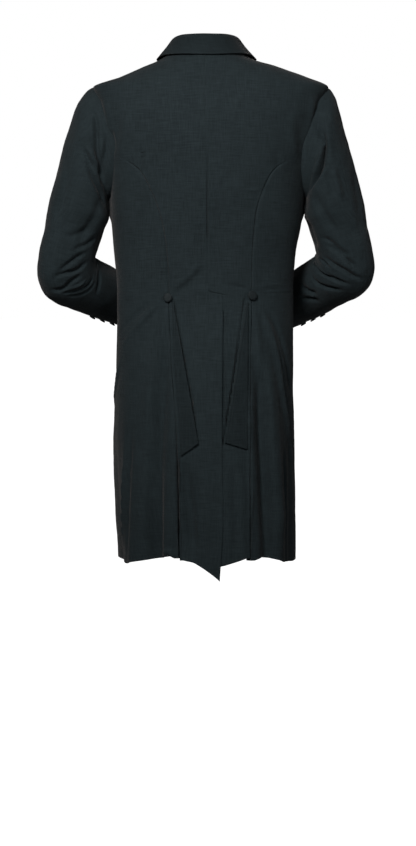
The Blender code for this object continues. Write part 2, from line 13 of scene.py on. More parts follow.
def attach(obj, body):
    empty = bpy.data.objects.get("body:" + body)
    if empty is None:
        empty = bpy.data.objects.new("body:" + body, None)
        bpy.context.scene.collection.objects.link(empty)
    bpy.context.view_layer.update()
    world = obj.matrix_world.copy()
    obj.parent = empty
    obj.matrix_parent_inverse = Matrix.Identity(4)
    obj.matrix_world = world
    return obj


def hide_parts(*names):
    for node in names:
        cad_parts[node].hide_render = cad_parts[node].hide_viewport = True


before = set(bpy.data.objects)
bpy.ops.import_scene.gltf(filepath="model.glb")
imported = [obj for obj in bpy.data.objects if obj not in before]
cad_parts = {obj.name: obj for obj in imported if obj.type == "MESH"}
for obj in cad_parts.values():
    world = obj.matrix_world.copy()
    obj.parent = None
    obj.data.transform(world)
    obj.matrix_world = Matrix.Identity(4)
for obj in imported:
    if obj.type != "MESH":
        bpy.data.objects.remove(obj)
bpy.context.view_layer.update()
bpy.ops.object.select_all(action="DESELECT")

# ---- Backs -----------------------------------------------------------------------------------
# Two backs of black wool broadcloth, each cut in one from the neck to the hem and joined down the
# middle to the waist. Below it the left one passes the centre and lies on the right one, as a
# vent, and each turns in at its outer edge to make half of a back pleat.

SIDES = (("l", 1), ("r", -1))
CLOTH = 0.002  # wall of one layer
LAYER = CLOTH + 0.0008  # how far out a layer lies that covers another one
SEAM_TURN = -0.12  # how far the cloth passes its seam line, in degrees round the wearer
SEAM_DIP, SEAM_REACH = 0.0008, 0.0014  # how the cloth rolls in at a pressed seam
WAIST_Z = -0.470
ARM_TOP, ARM_BOTTOM, ARM_HALF = -0.060, -0.285, 0.065
RETURN = 0.026  # how deep the cloth turns in at each pleat
NECK_Z = 0.0115

# Trunk sections: height, half width on the left and right, depth behind and in front, squareness
SECTIONS = np.array([
    (-1.060, 0.172, 0.171, 0.158, 0.162, 2.3),
    (-1.000, 0.174, 0.172, 0.156, 0.160, 2.3),
    (-0.900, 0.181, 0.172, 0.150, 0.155, 2.3),
    (-0.760, 0.187, 0.172, 0.138, 0.148, 2.3),
    (-0.620, 0.183, 0.171, 0.122, 0.138, 2.3),
    (-0.540, 0.181, 0.171, 0.104, 0.128, 2.3),
    (-0.470, 0.181, 0.171, 0.093, 0.122, 2.3),
    (-0.400, 0.186, 0.175, 0.097, 0.126, 2.35),
    (-0.330, 0.192, 0.188, 0.107, 0.131, 2.4),
    (-0.250, 0.197, 0.196, 0.117, 0.132, 2.5),
    (-0.175, 0.204, 0.206, 0.121, 0.126, 2.6),
    (-0.120, 0.214, 0.220, 0.117, 0.112, 2.6),
    (-0.085, 0.223, 0.232, 0.108, 0.098, 2.5),
    (-0.060, 0.229, 0.241, 0.099, 0.087, 2.4),
    (-0.040, 0.176, 0.200, 0.091, 0.077, 2.3),
    (-0.020, 0.130, 0.142, 0.081, 0.067, 2.2),
    (0.000, 0.089, 0.084, 0.071, 0.058, 2.1),
    (0.012, 0.077, 0.070, 0.065, 0.053, 2.0),
])
# Centre-back seam, and below the waist the inner edge of the right back: height and x
CENTRE_SEAM = np.array([(-1.06, -0.002), (-0.47, -0.002), (-0.20, 0.003), (0.012, 0.005)])
# Free edge of the vent: height and x. Its top slopes down from the centre seam
VENT_EDGE = np.array([
    (-1.06, -0.022), (-0.90, -0.030), (-0.76, -0.028), (-0.4755, -0.030), (-0.4680, -0.002),
])
VENT_TOP = VENT_EDGE[-1, 0]
# Curved back seams from the hip buttons to the armhole: height, x on the left and on the right
BACK_SEAM = np.array([
    (-0.470, 0.077, 0.087), (-0.420, 0.079, 0.088), (-0.360, 0.085, 0.091),
    (-0.300, 0.100, 0.099), (-0.244, 0.125, 0.121), (-0.220, 0.146, 0.142),
    (-0.195, 0.186, 0.186),
])
# Pleat lines from the hem to the hip buttons, and half the mouth of each pleat
PLEAT_LINE = np.array([
    (-1.060, 0.053, 0.082), (-0.900, 0.056, 0.083), (-0.740, 0.061, 0.084),
    (-0.600, 0.072, 0.085), (-0.470, 0.077, 0.087),
])
PLEAT_MOUTH = np.array([
    (-1.060, 0.0010, 0.0014), (-0.760, 0.0005, 0.0007), (-0.600, 0.0004, 0.0005),
    (-0.470, 0.0004, 0.0004),
])
# The turned-in edge at a pleat: distance from the fold on a flat edge and on a full pleat, and
# how deep it goes
TURNED = np.array([
    (0, 0.0048, 0.0040, 0.0000), (1, 0.0030, 0.0008, 0.0022),
    (2, 0.0014, 0.0000, 0.0080), (3, 0.0000, 0.0010, RETURN),
])
PLEAT_SHUT, PLEAT_OPENING = -0.580, 0.700  # where each pleat starts, and the length it opens in
# Hem: turn and height
HEM = np.array([
    (-180.0, -1.000), (-130.0, -0.998), (-92.0, -1.000), (-70.0, -1.003), (-45.0, -0.998),
    (-33.0, -0.988), (-28.0, -0.986), (-12.0, -1.000), (0.0, -1.006), (20.0, -0.990),
    (24.0, -0.982), (35.0, -0.988), (60.0, -1.003), (92.0, -0.998), (130.0, -0.998),
    (180.0, -1.000),
])
VENT_TIP = -1.030
# Large folds: turn at the waist and at the hem, start height, half width in degrees, how far out
FOLDS = (
    (40.0, 36.0, -0.520, 6.0, -0.010),
    (52.0, 52.0, -0.560, 8.0, 0.010),
    (74.0, 78.0, -0.600, 7.0, -0.007),
    (100.0, 98.0, -0.560, 9.0, 0.006),
    (122.0, 124.0, -0.600, 8.0, -0.009),
    (148.0, 146.0, -0.560, 9.0, 0.008),
    (13.0, 8.0, -0.620, 6.0, -0.004),
    (-16.0, -20.0, -0.580, 6.0, 0.005),
    (-50.0, -48.0, -0.560, 7.0, 0.010),
    (-66.0, -72.0, -0.500, 6.0, -0.008),
    (-88.0, -92.0, -0.600, 8.0, 0.005),
    (-116.0, -114.0, -0.560, 8.0, -0.009),
    (-142.0, -140.0, -0.600, 9.0, 0.009),
)


def smooth(table, column, at):
    """The table's column at a height, through its rows as a smooth curve."""
    x, y = table[:, 0], table[:, column]
    at = np.clip(at, x[0], x[-1])
    i = np.clip(np.searchsorted(x, at) - 1, 0, len(x) - 2)
    step = np.diff(x)
    rise = np.diff(y) / step
    same = rise[:-1] * rise[1:] > 0
    total = np.where(same, rise[:-1] + rise[1:], 1.0)
    inner = np.where(same, 2 * rise[:-1] * rise[1:] / total, 0.0)
    slope = np.concatenate([rise[:1], inner, rise[-1:]])
    t = (at - x[i]) / step[i]
    return (
        (2 * t**3 - 3 * t**2 + 1) * y[i] + (t**3 - 2 * t**2 + t) * step[i] * slope[i]
        + (3 * t**2 - 2 * t**3) * y[i + 1] + (t**3 - t**2) * step[i] * slope[i + 1]
    )


def ease(t):
    """0 to 1, flat at both ends."""
    t = np.clip(t, 0.0, 1.0)
    return t * t * (3 - 2 * t)


def body(turn, z):
    """The outside of the cloth on the trunk, at a turn round the wearer and a height."""
    s, c = np.sin(np.radians(turn)), np.cos(np.radians(turn))
    width = np.where(s >= 0, smooth(SECTIONS, 1, z), smooth(SECTIONS, 2, z))
    depth = np.where(c >= 0, smooth(SECTIONS, 3, z), smooth(SECTIONS, 4, z))
    square = smooth(SECTIONS, 5, z)
    k = (abs(s) ** square + abs(c) ** square) ** (-1 / square)
    out = 0.0
    for top, hem, start, wide, far in FOLDS:
        down = (start - z) / (start + 1.0)
        middle = top + (hem - top) * down
        out = out + far * ease(down) * np.exp(-(((turn - middle) / wide) ** 2))
    return np.stack([(width + out) * s * k, (depth + out) * c * k, z + 0.0 * turn], axis=-1)


def body_frame(turn, z):
    """A place on the trunk and the direction straight out of the cloth there."""
    z = np.minimum(z, NECK_Z)
    around = body(turn + 0.5, z) - body(turn - 0.5, z)
    up = body(turn, z + 0.0005) - body(turn, z - 0.0005)
    normal = np.cross(up, around)
    return body(turn, z), normal / np.linalg.norm(normal, axis=-1, keepdims=True)


def quarter_turn(share, square):
    """The turn from the middle line at which a section is this share of its half width."""
    share = np.clip(abs(share), 1e-6, 0.9999)
    return np.degrees(np.arctan((share**-square - 1) ** (-1 / square)))


def half_width(x, z):
    return np.where(x >= 0, smooth(SECTIONS, 1, z), smooth(SECTIONS, 2, z))


def turn_at(x, z):
    """The turn at which the back has this x."""
    return np.copysign(quarter_turn(x / half_width(x, z), smooth(SECTIONS, 5, z)), x)


def turn_in_front(x, z, side):
    """The turn, as reached from one side, at which the front has this x."""
    turn = quarter_turn(x / half_width(x, z), smooth(SECTIONS, 5, z))
    return side * (180 - np.copysign(turn, x * side))


def turn_at_depth(y, z, side):
    """The turn on one side at which the trunk has this y."""
    depth = np.where(y >= 0, smooth(SECTIONS, 3, z), smooth(SECTIONS, 4, z))
    return side * (90 - np.copysign(quarter_turn(y / depth, smooth(SECTIONS, 5, z)), y))


def armhole_half(z):
    """Half the armhole's depth at a height."""
    middle, half = (ARM_TOP + ARM_BOTTOM) / 2, (ARM_TOP - ARM_BOTTOM) / 2
    return ARM_HALF * np.sqrt(np.maximum(0.0, 1 - ((z - middle) / half) ** 2))


def unit(vector):
    return vector / np.maximum(np.linalg.norm(vector, axis=-1, keepdims=True), 1e-12)


def through(points, at, ring=False):
    """A smooth curve through rows of points, read at fractions of a row."""
    count = len(points)
    i = np.floor(at).astype(int)
    if not ring:
        i = np.clip(i, 0, count - 2)
    t = (at - i).reshape((-1,) + (1,) * (points.ndim - 1))
    if ring:
        a, b, c, d = (points[(i + k) % count] for k in (-1, 0, 1, 2))
    else:
        longer = np.concatenate([2 * points[:1] - points[1:2], points, 2 * points[-1:] - points[-2:-1]])
        a, b, c, d = (longer[i + k] for k in (0, 1, 2, 3))
    return 0.5 * (
        2 * b + (c - a) * t + (2 * a - 5 * b + 4 * c - d) * t**2 + (3 * b - a - 3 * c + d) * t**3
    )


def crowded(count, gather=0.6):
    """Shares from 0 to 1, closer together at both ends, where the seams are."""
    u = np.linspace(0, 1, count)
    return u - gather * np.sin(2 * math.pi * u) / (2 * math.pi)


def normals_of(grid):
    """Straight out of a grid of points, on one side of it or the other."""
    return unit(np.cross(np.gradient(grid, axis=1), np.gradient(grid, axis=0)))


def facing_out(grid, normal):
    """The same normals, turned round if they point at the middle."""
    away = grid * np.array([1, 1, 0])
    return normal if (normal * away).sum() > 0 else -normal


def unevenness(points, size, seed):
    """Gentle waves of about this size, so that no cloth is perfectly even."""
    draw = np.random.default_rng(seed)
    waves = unit(draw.normal(size=(16, 3))) * 2 * math.pi / size * draw.uniform(0.6, 1.7, (16, 1))
    phase = draw.uniform(0, 2 * math.pi, 16)
    return np.sin(points @ waves.T + phase).sum(axis=-1) / 4


def crease(line, wide, out, lean=0.0, fade=0.3):
    """A soft ridge or trough along a line: half width, how far out, its lean, and its fading ends."""
    line = np.array(line, float)
    at = np.linspace(0, len(line) - 1, 4 * len(line))
    return through(line, at), wide, out, lean, fade


def pressed(grid, normal, creases):
    """The grid with its creases in it."""
    flat, out = grid.reshape(-1, 3), normal.reshape(-1, 3)
    moved = np.zeros(len(flat))
    for line, wide, far, lean, fade in creases:
        reach = 3.2 * wide * (1 + abs(lean))
        inside = ((flat > line.min(0) - reach) & (flat < line.max(0) + reach)).all(1)
        near = np.flatnonzero(inside)
        if not len(near):
            continue
        p, n = flat[near], out[near]
        nearest, along, hand = np.full(len(near), np.inf), np.zeros(len(near)), np.ones(len(near))
        steps = np.linalg.norm(np.diff(line, axis=0), axis=1)
        for a, b, step, before in zip(line, line[1:], steps, np.cumsum(steps) - steps):
            t = np.clip((p - a) @ (b - a) / step**2, 0, 1)
            off = p - a - t[:, None] * (b - a)
            far_off = np.linalg.norm(off, axis=1)
            closer = far_off < nearest
            nearest[closer] = far_off[closer]
            along[closer] = (before + t * step)[closer] / steps.sum()
            hand[closer] = np.sign((np.cross(b - a, n) * off).sum(1))[closer]
        q = nearest / (wide * (1 + lean * hand))
        ends = ease(along / fade) * ease((1 - along) / fade)
        moved[near] += far * ends * (1 - 0.55 * q**2) * np.exp(-0.8 * q**2)
    return grid + normal * moved.reshape(grid.shape[:2] + (1,))


def edge_distances(grid):
    """Distance of each point from the four edges: first and last column, first and last row."""
    across = np.linalg.norm(np.diff(grid, axis=1), axis=2)
    up = np.linalg.norm(np.diff(grid, axis=0), axis=2)
    u = np.concatenate([np.zeros((len(grid), 1)), np.cumsum(across, axis=1)], axis=1)
    v = np.concatenate([np.zeros((1, grid.shape[1])), np.cumsum(up, axis=0)], axis=0)
    return u, u[:, -1:] - u, v, v[-1:] - v


def rolled(grid, normal, seams, dip=SEAM_DIP, reach=SEAM_REACH):
    """The grid with its cloth rolled in along the named edges."""
    total = 0.0
    for name, distance in zip(("first", "last", "low", "high"), edge_distances(grid)):
        if name in seams:
            total = total + dip * np.exp(-((distance / reach) ** 2))
    return grid - normal * np.broadcast_to(total, grid.shape[:2])[..., None]


def cut_straight(grid):
    """Where each point lies on flat cloth whose threads run straight down and level."""
    side = np.sign(grid[..., 0].mean())
    return grid[:, :1, 0] + side * edge_distances(grid)[0], grid[..., 2]


def cloth_piece(name, grid, normal, material, chart, thick=CLOTH):
    """A closed sheet of cloth from a grid of points on its outside, and its map in metres."""
    rows, cols = grid.shape[:2]
    size = rows * cols
    points = np.concatenate([grid.reshape(-1, 3), (grid - normal * thick).reshape(-1, 3)])
    index = np.arange(size).reshape(rows, cols)
    corners = [index[:-1, :-1], index[:-1, 1:], index[1:, 1:], index[1:, :-1]]
    quads = np.stack(corners, -1).reshape(-1, 4)
    rim = np.concatenate([index[0, :-1], index[:-1, -1], index[-1, :0:-1], index[:0:-1, 0]])
    after = np.roll(rim, -1)
    sides = np.stack([after, rim, size + rim, size + after], -1)
    faces = np.concatenate([quads, size + quads[:, ::-1], sides])
    middle = quads[len(quads) // 2 + cols // 2]
    a, b, c, _ = points[middle]
    if np.dot(np.cross(b - a, c - b), normal.reshape(-1, 3)[middle[0]]) < 0:
        faces = faces[:, ::-1]
    mesh = bpy.data.meshes.new(name)
    mesh.vertices.add(len(points))
    mesh.vertices.foreach_set("co", points.astype(np.float32).ravel())
    mesh.loops.add(faces.size)
    mesh.loops.foreach_set("vertex_index", faces.astype(np.int32).ravel())
    mesh.polygons.add(len(faces))
    mesh.polygons.foreach_set("loop_start", np.arange(0, faces.size, 4, dtype=np.int32))
    mesh.update(calc_edges=True)
    first, last, low, high = edge_distances(grid)
    chart = np.tile(np.stack(np.broadcast_arrays(*chart), -1).reshape(-1, 2), (2, 1))
    layer = mesh.uv_layers.new(name="cut")
    layer.data.foreach_set("uv", chart[faces.ravel()].astype(np.float32).ravel())
    edge = np.minimum(np.minimum(first, last), np.minimum(low, high)).ravel()
    worn = mesh.attributes.new("edge", "FLOAT", "POINT")
    worn.data.foreach_set("value", np.tile(np.exp(-edge / 0.004), 2).astype(np.float32))
    mesh.materials.append(material)
    made = bpy.data.objects.new(name, mesh)
    bpy.context.scene.collection.objects.link(made)
    made.select_set(True)
    bpy.context.view_layer.objects.active = made
    bpy.ops.object.shade_smooth_by_angle(angle=math.radians(48))
    made.select_set(False)
    return made


def sewn_in(piece, node):
    """Hangs the piece on the root body and hides the plain node it stands for."""
    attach(piece, "root")
    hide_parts(node)


def nodes_of(tree):
    """Short calls that add a node to a tree and join its sockets."""

    def add(kind, **values):
        node = tree.nodes.new(kind)
        for key, value in values.items():
            setattr(node, key, value)
        return node

    def join(source, target):
        tree.links.new(source, target)

    def maths(operation, *inputs):
        node = add("ShaderNodeMath", operation=operation)
        for socket, value in zip(node.inputs, inputs):
            if isinstance(value, (int, float)):
                socket.default_value = value
            else:
                join(value, socket)
        return node.outputs[0]

    return add, join, maths


def new_group(name, inputs, outputs):
    """An empty shader group with number sockets, and one vector socket called Place."""
    tree = bpy.data.node_groups.new(name, "ShaderNodeTree")
    tree.interface.new_socket("Place", in_out="INPUT", socket_type="NodeSocketVector")
    for label, value in inputs:
        socket = tree.interface.new_socket(label, in_out="INPUT", socket_type="NodeSocketFloat")
        socket.default_value = value
    for label in outputs:
        tree.interface.new_socket(label, in_out="OUTPUT", socket_type="NodeSocketFloat")
    return tree, tree.nodes.new("NodeGroupInput").outputs, tree.nodes.new("NodeGroupOutput").inputs


def streaks(add, join, place, across, along, detail):
    """Noise drawn out along one direction of the cloth."""
    mapping = add("ShaderNodeMapping")
    mapping.inputs["Scale"].default_value = (across, along, 1.0)
    join(place, mapping.inputs["Vector"])
    noise = add("ShaderNodeTexNoise", noise_dimensions="2D")
    noise.inputs["Scale"].default_value = 1.0
    noise.inputs["Detail"].default_value = detail
    join(mapping.outputs[0], noise.inputs["Vector"])
    return noise.outputs[0]


THREAD = 0.0007  # from one thread of the weave to the next but one


def weave_group():
    """Plain-woven wool: uneven threads both ways, with slubs, and the broad milled surface."""
    tree, given, out = new_group("wool weave", (("Slub", 1.0), ("Cloud", 1.0)), ("Tone", "Height"))
    add, join, maths = nodes_of(tree)
    place = given["Place"]
    warp = streaks(add, join, place, 900.0, 45.0, 2.0)
    weft = streaks(add, join, place, 40.0, 820.0, 2.0)
    long_slub = streaks(add, join, place, 380.0, 26.0, 3.0)
    cross_slub = streaks(add, join, place, 28.0, 350.0, 3.0)
    cloud = streaks(add, join, place, 14.0, 8.0, 4.0)
    apart = add("ShaderNodeSeparateXYZ")
    join(place, apart.inputs[0])
    threads = maths("SINE", maths("MULTIPLY", apart.outputs[0], 2 * math.pi / THREAD))
    picks = maths("SINE", maths("MULTIPLY", apart.outputs[1], 2 * math.pi / THREAD))
    fine = maths("SUBTRACT", maths("ADD", warp, weft), 1.0)
    slub = maths("SUBTRACT", maths("ADD", long_slub, cross_slub), 1.0)
    slub = maths("MULTIPLY", slub, given["Slub"])
    milled = maths("MULTIPLY", maths("SUBTRACT", cloud, 0.5), given["Cloud"])
    tone = maths("MULTIPLY_ADD", fine, 0.6, 0.5)
    tone = maths("MULTIPLY_ADD", slub, 0.5, tone)
    join(maths("MULTIPLY_ADD", milled, 0.3, tone), out["Tone"])
    height = maths("MULTIPLY_ADD", maths("MULTIPLY", threads, picks), 0.35, fine)
    join(maths("MULTIPLY_ADD", slub, 0.8, height), out["Height"])
    return tree


def wear_group():
    """Where edges and seams have been pressed and brushed, broken up along their length."""
    tree, given, out = new_group("edge wear", (("Edge", 0.0),), ("Worn",))
    add, join, maths = nodes_of(tree)
    patch = streaks(add, join, given["Place"], 60.0, 40.0, 3.0)
    broken = maths("SUBTRACT", maths("MULTIPLY", patch, 1.8), 0.35)
    node = add("ShaderNodeMath", operation="MULTIPLY", use_clamp=True)
    join(broken, node.inputs[0])
    join(given["Edge"], node.inputs[1])
    join(node.outputs[0], out["Worn"])
    return tree


WEAVE, WEAR = weave_group(), wear_group()
BLACK = (0.0068, 0.0100, 0.0111)  # the dye in the shade of the weave
NAP = (0.0178, 0.0256, 0.0285)  # the lighter ends of the fibres
SHEEN_TINT = (1.00, 0.88, 0.84)
WORN_LIGHTER, WORN_SHARE = 1.3, 0.10  # how a pressed edge differs from the cloth


def dyed(colour, lighter):
    """The colour made this many times lighter, as a socket takes it."""
    return (*[c * lighter for c in colour], 1)


def wool(name, slub=1.0, cloud=1.0, lighter=1.0, sheen=0.05, rough=0.80):
    """Black wool cloth, with the evenness, depth and sheen of one piece of the coat. The darker copies
    made for the collar and the flaps are painted shade.
    """
    made = bpy.data.materials.new(name)
    made.use_nodes = True
    tree = made.node_tree
    add, join, maths = nodes_of(tree)
    shader = tree.nodes["Principled BSDF"]
    chart = add("ShaderNodeUVMap", uv_map="cut")
    weave = add("ShaderNodeGroup", node_tree=WEAVE)
    weave.inputs["Slub"].default_value = slub
    weave.inputs["Cloud"].default_value = cloud
    join(chart.outputs[0], weave.inputs["Place"])
    edge = add("ShaderNodeAttribute", attribute_name="edge")
    wear = add("ShaderNodeGroup", node_tree=WEAR)
    join(chart.outputs[0], wear.inputs["Place"])
    join(edge.outputs["Fac"], wear.inputs["Edge"])
    ramp = add("ShaderNodeValToRGB")
    ramp.color_ramp.elements[0].position = 0.0
    ramp.color_ramp.elements[0].color = dyed(BLACK, lighter)
    ramp.color_ramp.elements[1].color = dyed(NAP, lighter)
    join(weave.outputs["Tone"], ramp.inputs[0])
    mix = add("ShaderNodeMix", data_type="RGBA", blend_type="MIX")
    join(maths("MULTIPLY", wear.outputs["Worn"], WORN_SHARE), mix.inputs["Factor"])
    join(ramp.outputs[0], mix.inputs[6])
    mix.inputs[7].default_value = dyed(NAP, lighter * WORN_LIGHTER)
    join(mix.outputs[2], shader.inputs["Base Color"])
    brushed = maths("MULTIPLY", wear.outputs["Worn"], 0.12)
    less = maths("ADD", brushed, maths("MULTIPLY", weave.outputs["Tone"], 0.10))
    join(maths("SUBTRACT", rough + 0.08, less), shader.inputs["Roughness"])
    shader.inputs["Specular IOR Level"].default_value = 0.06
    shader.inputs["Sheen Weight"].default_value = sheen
    shader.inputs["Sheen Roughness"].default_value = 0.42
    shader.inputs["Sheen Tint"].default_value = (*SHEEN_TINT, 1)
    bump = add("ShaderNodeBump")
    bump.inputs["Strength"].default_value = 0.45
    bump.inputs["Distance"].default_value = 0.0004
    join(weave.outputs["Height"], bump.inputs["Height"])
    join(bump.outputs[0], shader.inputs["Normal"])
    return made


def trunk_grid(share, z, back_edge, front_edge, side, lift=None, pleat=None):
    """Points on the trunk between two edges, with the turned-in strip of a pleat if it has one."""
    back, front = back_edge(z), front_edge(z)
    keep = 1.0
    if pleat:
        full = ease((PLEAT_SHUT - z) / PLEAT_OPENING)
        flat, folded = TURNED[0, 1:3]
        wide = np.linalg.norm(body(front, z) - body(back, z), axis=-1)
        keep = 1 - (flat + (folded - flat) * full + 0.0012) / wide
    if pleat == "back":
        turn = front - (1 - share) * keep * (front - back)
    else:
        turn = back + share * keep * (front - back)
    grid, normal = body_frame(turn, z)
    if lift:
        grid = grid + normal * np.broadcast_to(lift(grid), z.shape)[..., None]
    if not pleat:
        return grid
    column = -1 if pleat == "front" else 0
    height, back, front, wide = z[:, column], back[:, column], front[:, column], wide[:, column]
    fold, inwards = (front, back - front) if pleat == "front" else (back, front - back)
    at_fold, out = body_frame(fold, height)
    if lift:
        at_fold = at_fold + out * lift(at_fold)[:, None]
    away = unit(np.cross(out, [0, 0, -1.0]) * (side if pleat == "front" else -side))
    step = np.linspace(0, 3, 16)
    flat, folded, deep = (smooth(TURNED, c, step) for c in (1, 2, 3))
    turned_in = at_fold[:, None] - away[:, None] * folded[:, None] - out[:, None] * deep[:, None]
    level = np.broadcast_to(height[:, None], (len(height), len(step)))
    laid, up = body_frame(fold[:, None] + inwards[:, None] * flat / wide[:, None], level)
    if lift:
        laid = laid + up * lift(laid)[..., None]
    full = ease((PLEAT_SHUT - height) / PLEAT_OPENING)[:, None, None]
    strip = laid + (turned_in - laid) * full
    if pleat == "front":
        return np.concatenate([grid, strip], axis=1)
    return np.concatenate([strip[:, ::-1], grid], axis=1)


def heights(*stops):
    """Heights through the stops, each followed by how far apart the rows above it are."""
    rows = []
    for low, apart, high in zip(stops[::2], stops[1::2], stops[2::2]):
        rows.append(np.linspace(low, high, max(2, round((high - low) / apart)), endpoint=False))
    return np.concatenate([*rows, [stops[-1]]])


def back_inner(side):
    def edge(z):
        seam = turn_at(smooth(CENTRE_SEAM, 1, z), z) + side * SEAM_TURN
        if side < 0:
            return seam
        return np.where(z < VENT_TOP, turn_at(smooth(VENT_EDGE, 1, z), z), seam)

    return edge


def back_outer(side):
    """Pleat line, curved back seam, armhole and shoulder seam, going up."""
    column = 1 if side > 0 else 2

    def edge(z):
        x = smooth(PLEAT_LINE, column, z) - smooth(PLEAT_MOUTH, column, z)
        pleat = turn_at(side * x, z)
        seam = turn_at(side * smooth(BACK_SEAM, column, z), z) - side * SEAM_TURN
        armhole = turn_at_depth(armhole_half(z), z, side)
        upper = np.where(z < ARM_TOP, armhole, side * (90 - SEAM_TURN))
        return np.where(z <= WAIST_Z, pleat, np.where(z < BACK_SEAM[-1, 0], seam, upper))

    return edge


def vent_lift(point):
    """The left back lies on the right one where it passes the centre below the waist."""
    below = ease((-0.452 - point[..., 2]) / 0.015)
    covers = below * ease((0.036 - point[..., 0]) / 0.020)
    return np.where(point[..., 1] > 0, LAYER * covers, 0.0)


def back_hem(side):
    """Height of a back's hem at a share across it. The left one drops to the vent's corner."""

    def low(share):
        if side > 0:
            hem = np.interp(share * 20, HEM[:, 0], HEM[:, 1])
            middle = np.interp(0, HEM[:, 0], HEM[:, 1])
            return hem + (VENT_TIP - middle) * np.maximum(0.0, 1 - 1.3 * share) ** 1.4
        return np.interp(share * -28, HEM[:, 0], HEM[:, 1])

    return low


def behind(*places):
    """A line on the back through places given as x and z."""
    x, z = np.array(places, float).T
    return body(turn_at(x, z), z)


def round_the_coat(*places):
    """A line on the trunk through places given as turn and z."""
    turn, z = np.array(places, float).T
    return body(turn, z)


# Creases of the trunk and the skirts, as the coat pulls from the shoulders and the hip buttons:
# places as x and z, then half the width, how far out, the lean and the fading ends
CREASES_BEHIND = (
    (
        ((0.074, -0.59), (0.077, -0.468), (0.079, -0.42), (0.085, -0.36), (0.1, -0.3),
         (0.125, -0.244), (0.146, -0.22), (0.172, -0.204)), 0.0022, -0.003, 0.0, 0.15,
    ),
    (
        ((-0.0855, -0.6), (-0.087, -0.468), (-0.088, -0.42), (-0.091, -0.36), (-0.099, -0.3),
         (-0.121, -0.244), (-0.142, -0.22), (-0.172, -0.204)), 0.002, -0.0016, 0.0, 0.15,
    ),
    (((0.0, -0.06), (0.0, -0.2), (0.0, -0.34), (0.0, -0.47)), 0.0022, -0.0028, 0.0, 0.1),
    (((-0.212, -0.07), (-0.204, -0.12), (-0.192, -0.185)), 0.013, 0.005),
    (((0.206, -0.07), (0.198, -0.12), (0.188, -0.185)), 0.013, 0.003),
    (((0.133, -0.14), (0.13, -0.19), (0.135, -0.246)), 0.0038, -0.0042, 0.3),
    (((0.12, -0.15), (0.118, -0.19), (0.122, -0.235)), 0.008, 0.0018),
    (((-0.139, -0.145), (-0.136, -0.196), (-0.14, -0.24)), 0.005, -0.002, -0.2),
    (((0.19, -0.14), (0.186, -0.185), (0.196, -0.225)), 0.007, -0.0044, 0.2),
    (((0.158, -0.1), (0.162, -0.15), (0.176, -0.215)), 0.012, 0.003),
    (((-0.198, -0.15), (-0.19, -0.195), (-0.194, -0.235)), 0.007, -0.004, -0.2),
    (((-0.168, -0.11), (-0.166, -0.16), (-0.176, -0.22)), 0.012, 0.003),
    (((0.074, -0.474), (0.04, -0.454), (0.004, -0.412)), 0.01, -0.0026, 0.3),
    (((0.066, -0.459), (0.034, -0.437), (0.006, -0.408)), 0.008, 0.0014),
    (((-0.09, -0.47), (-0.13, -0.463), (-0.17, -0.465)), 0.0034, -0.001),
    (((-0.09, -0.46), (-0.128, -0.454), (-0.166, -0.456)), 0.004, 0.0008),
    (((0.086, -0.469), (0.128, -0.465), (0.178, -0.463)), 0.0034, -0.0009),
    (((-0.07, -0.268), (-0.088, -0.27), (-0.108, -0.268)), 0.003, 0.001),
    (((-0.083, -0.465), (-0.055, -0.456), (-0.03, -0.456)), 0.004, -0.0016),
    (((0.006, -0.467), (-0.014, -0.4715), (-0.04, -0.477)), 0.0022, -0.0024),
    (((0.086, -0.478), (0.118, -0.515), (0.172, -0.59)), 0.008, 0.0042, 0.3),
    (((0.1, -0.476), (0.136, -0.512), (0.176, -0.556)), 0.0075, -0.0034, 0.2),
    (((0.082, -0.486), (0.09, -0.56), (0.094, -0.66), (0.096, -0.74)), 0.008, 0.0034, -0.2),
    (((0.082, -0.5), (0.09, -0.64), (0.098, -0.8), (0.11, -1.16)), 0.015, -0.014, -0.2),
    (((0.066, -0.76), (0.066, -0.86), (0.072, -1.02)), 0.009, 0.0012, 0.2),
    (((0.112, -0.56), (0.12, -0.76), (0.13, -1.03)), 0.017, 0.007, 0.2),
    (((0.158, -0.78), (0.163, -0.87), (0.166, -1.0)), 0.0055, 0.005),
    (((0.172, -0.6), (0.18, -0.64), (0.186, -0.7)), 0.006, 0.004),
    (((0.146, -0.7), (0.152, -0.84), (0.154, -1.04)), 0.01, -0.008),
    (((-0.095, -0.484), (-0.13, -0.56), (-0.153, -0.7), (-0.172, -0.86)), 0.007, 0.0058, 0.3),
    (((-0.108, -0.484), (-0.148, -0.57), (-0.168, -0.69)), 0.007, -0.0044),
    (((-0.15, -0.65), (-0.162, -0.72), (-0.17, -0.8)), 0.005, -0.0044),
    (((-0.108, -0.54), (-0.126, -0.76), (-0.138, -1.04)), 0.018, 0.0085, -0.2),
    (((-0.09, -0.49), (-0.099, -0.56), (-0.104, -0.66)), 0.009, 0.0036),
    (((-0.098, -0.56), (-0.106, -0.7), (-0.112, -0.84), (-0.121, -1.16)), 0.013, -0.015, 0.2),
    (((-0.148, -0.76), (-0.156, -0.9), (-0.158, -1.06)), 0.012, -0.009),
    (((-0.08, -0.66), (-0.084, -0.78), (-0.084, -0.96)), 0.006, 0.003),
    (((-0.045, -0.78), (-0.054, -0.89), (-0.054, -1.03)), 0.011, -0.005),
    (((0.052, -0.77), (0.038, -0.86), (0.022, -1.0)), 0.012, -0.0066, 0.2),
    (((0.02, -0.8), (0.006, -0.86), (-0.006, -0.96)), 0.012, 0.003),
    (((0.06, -0.99), (0.074, -0.974), (0.09, -0.98)), 0.007, 0.006),
)
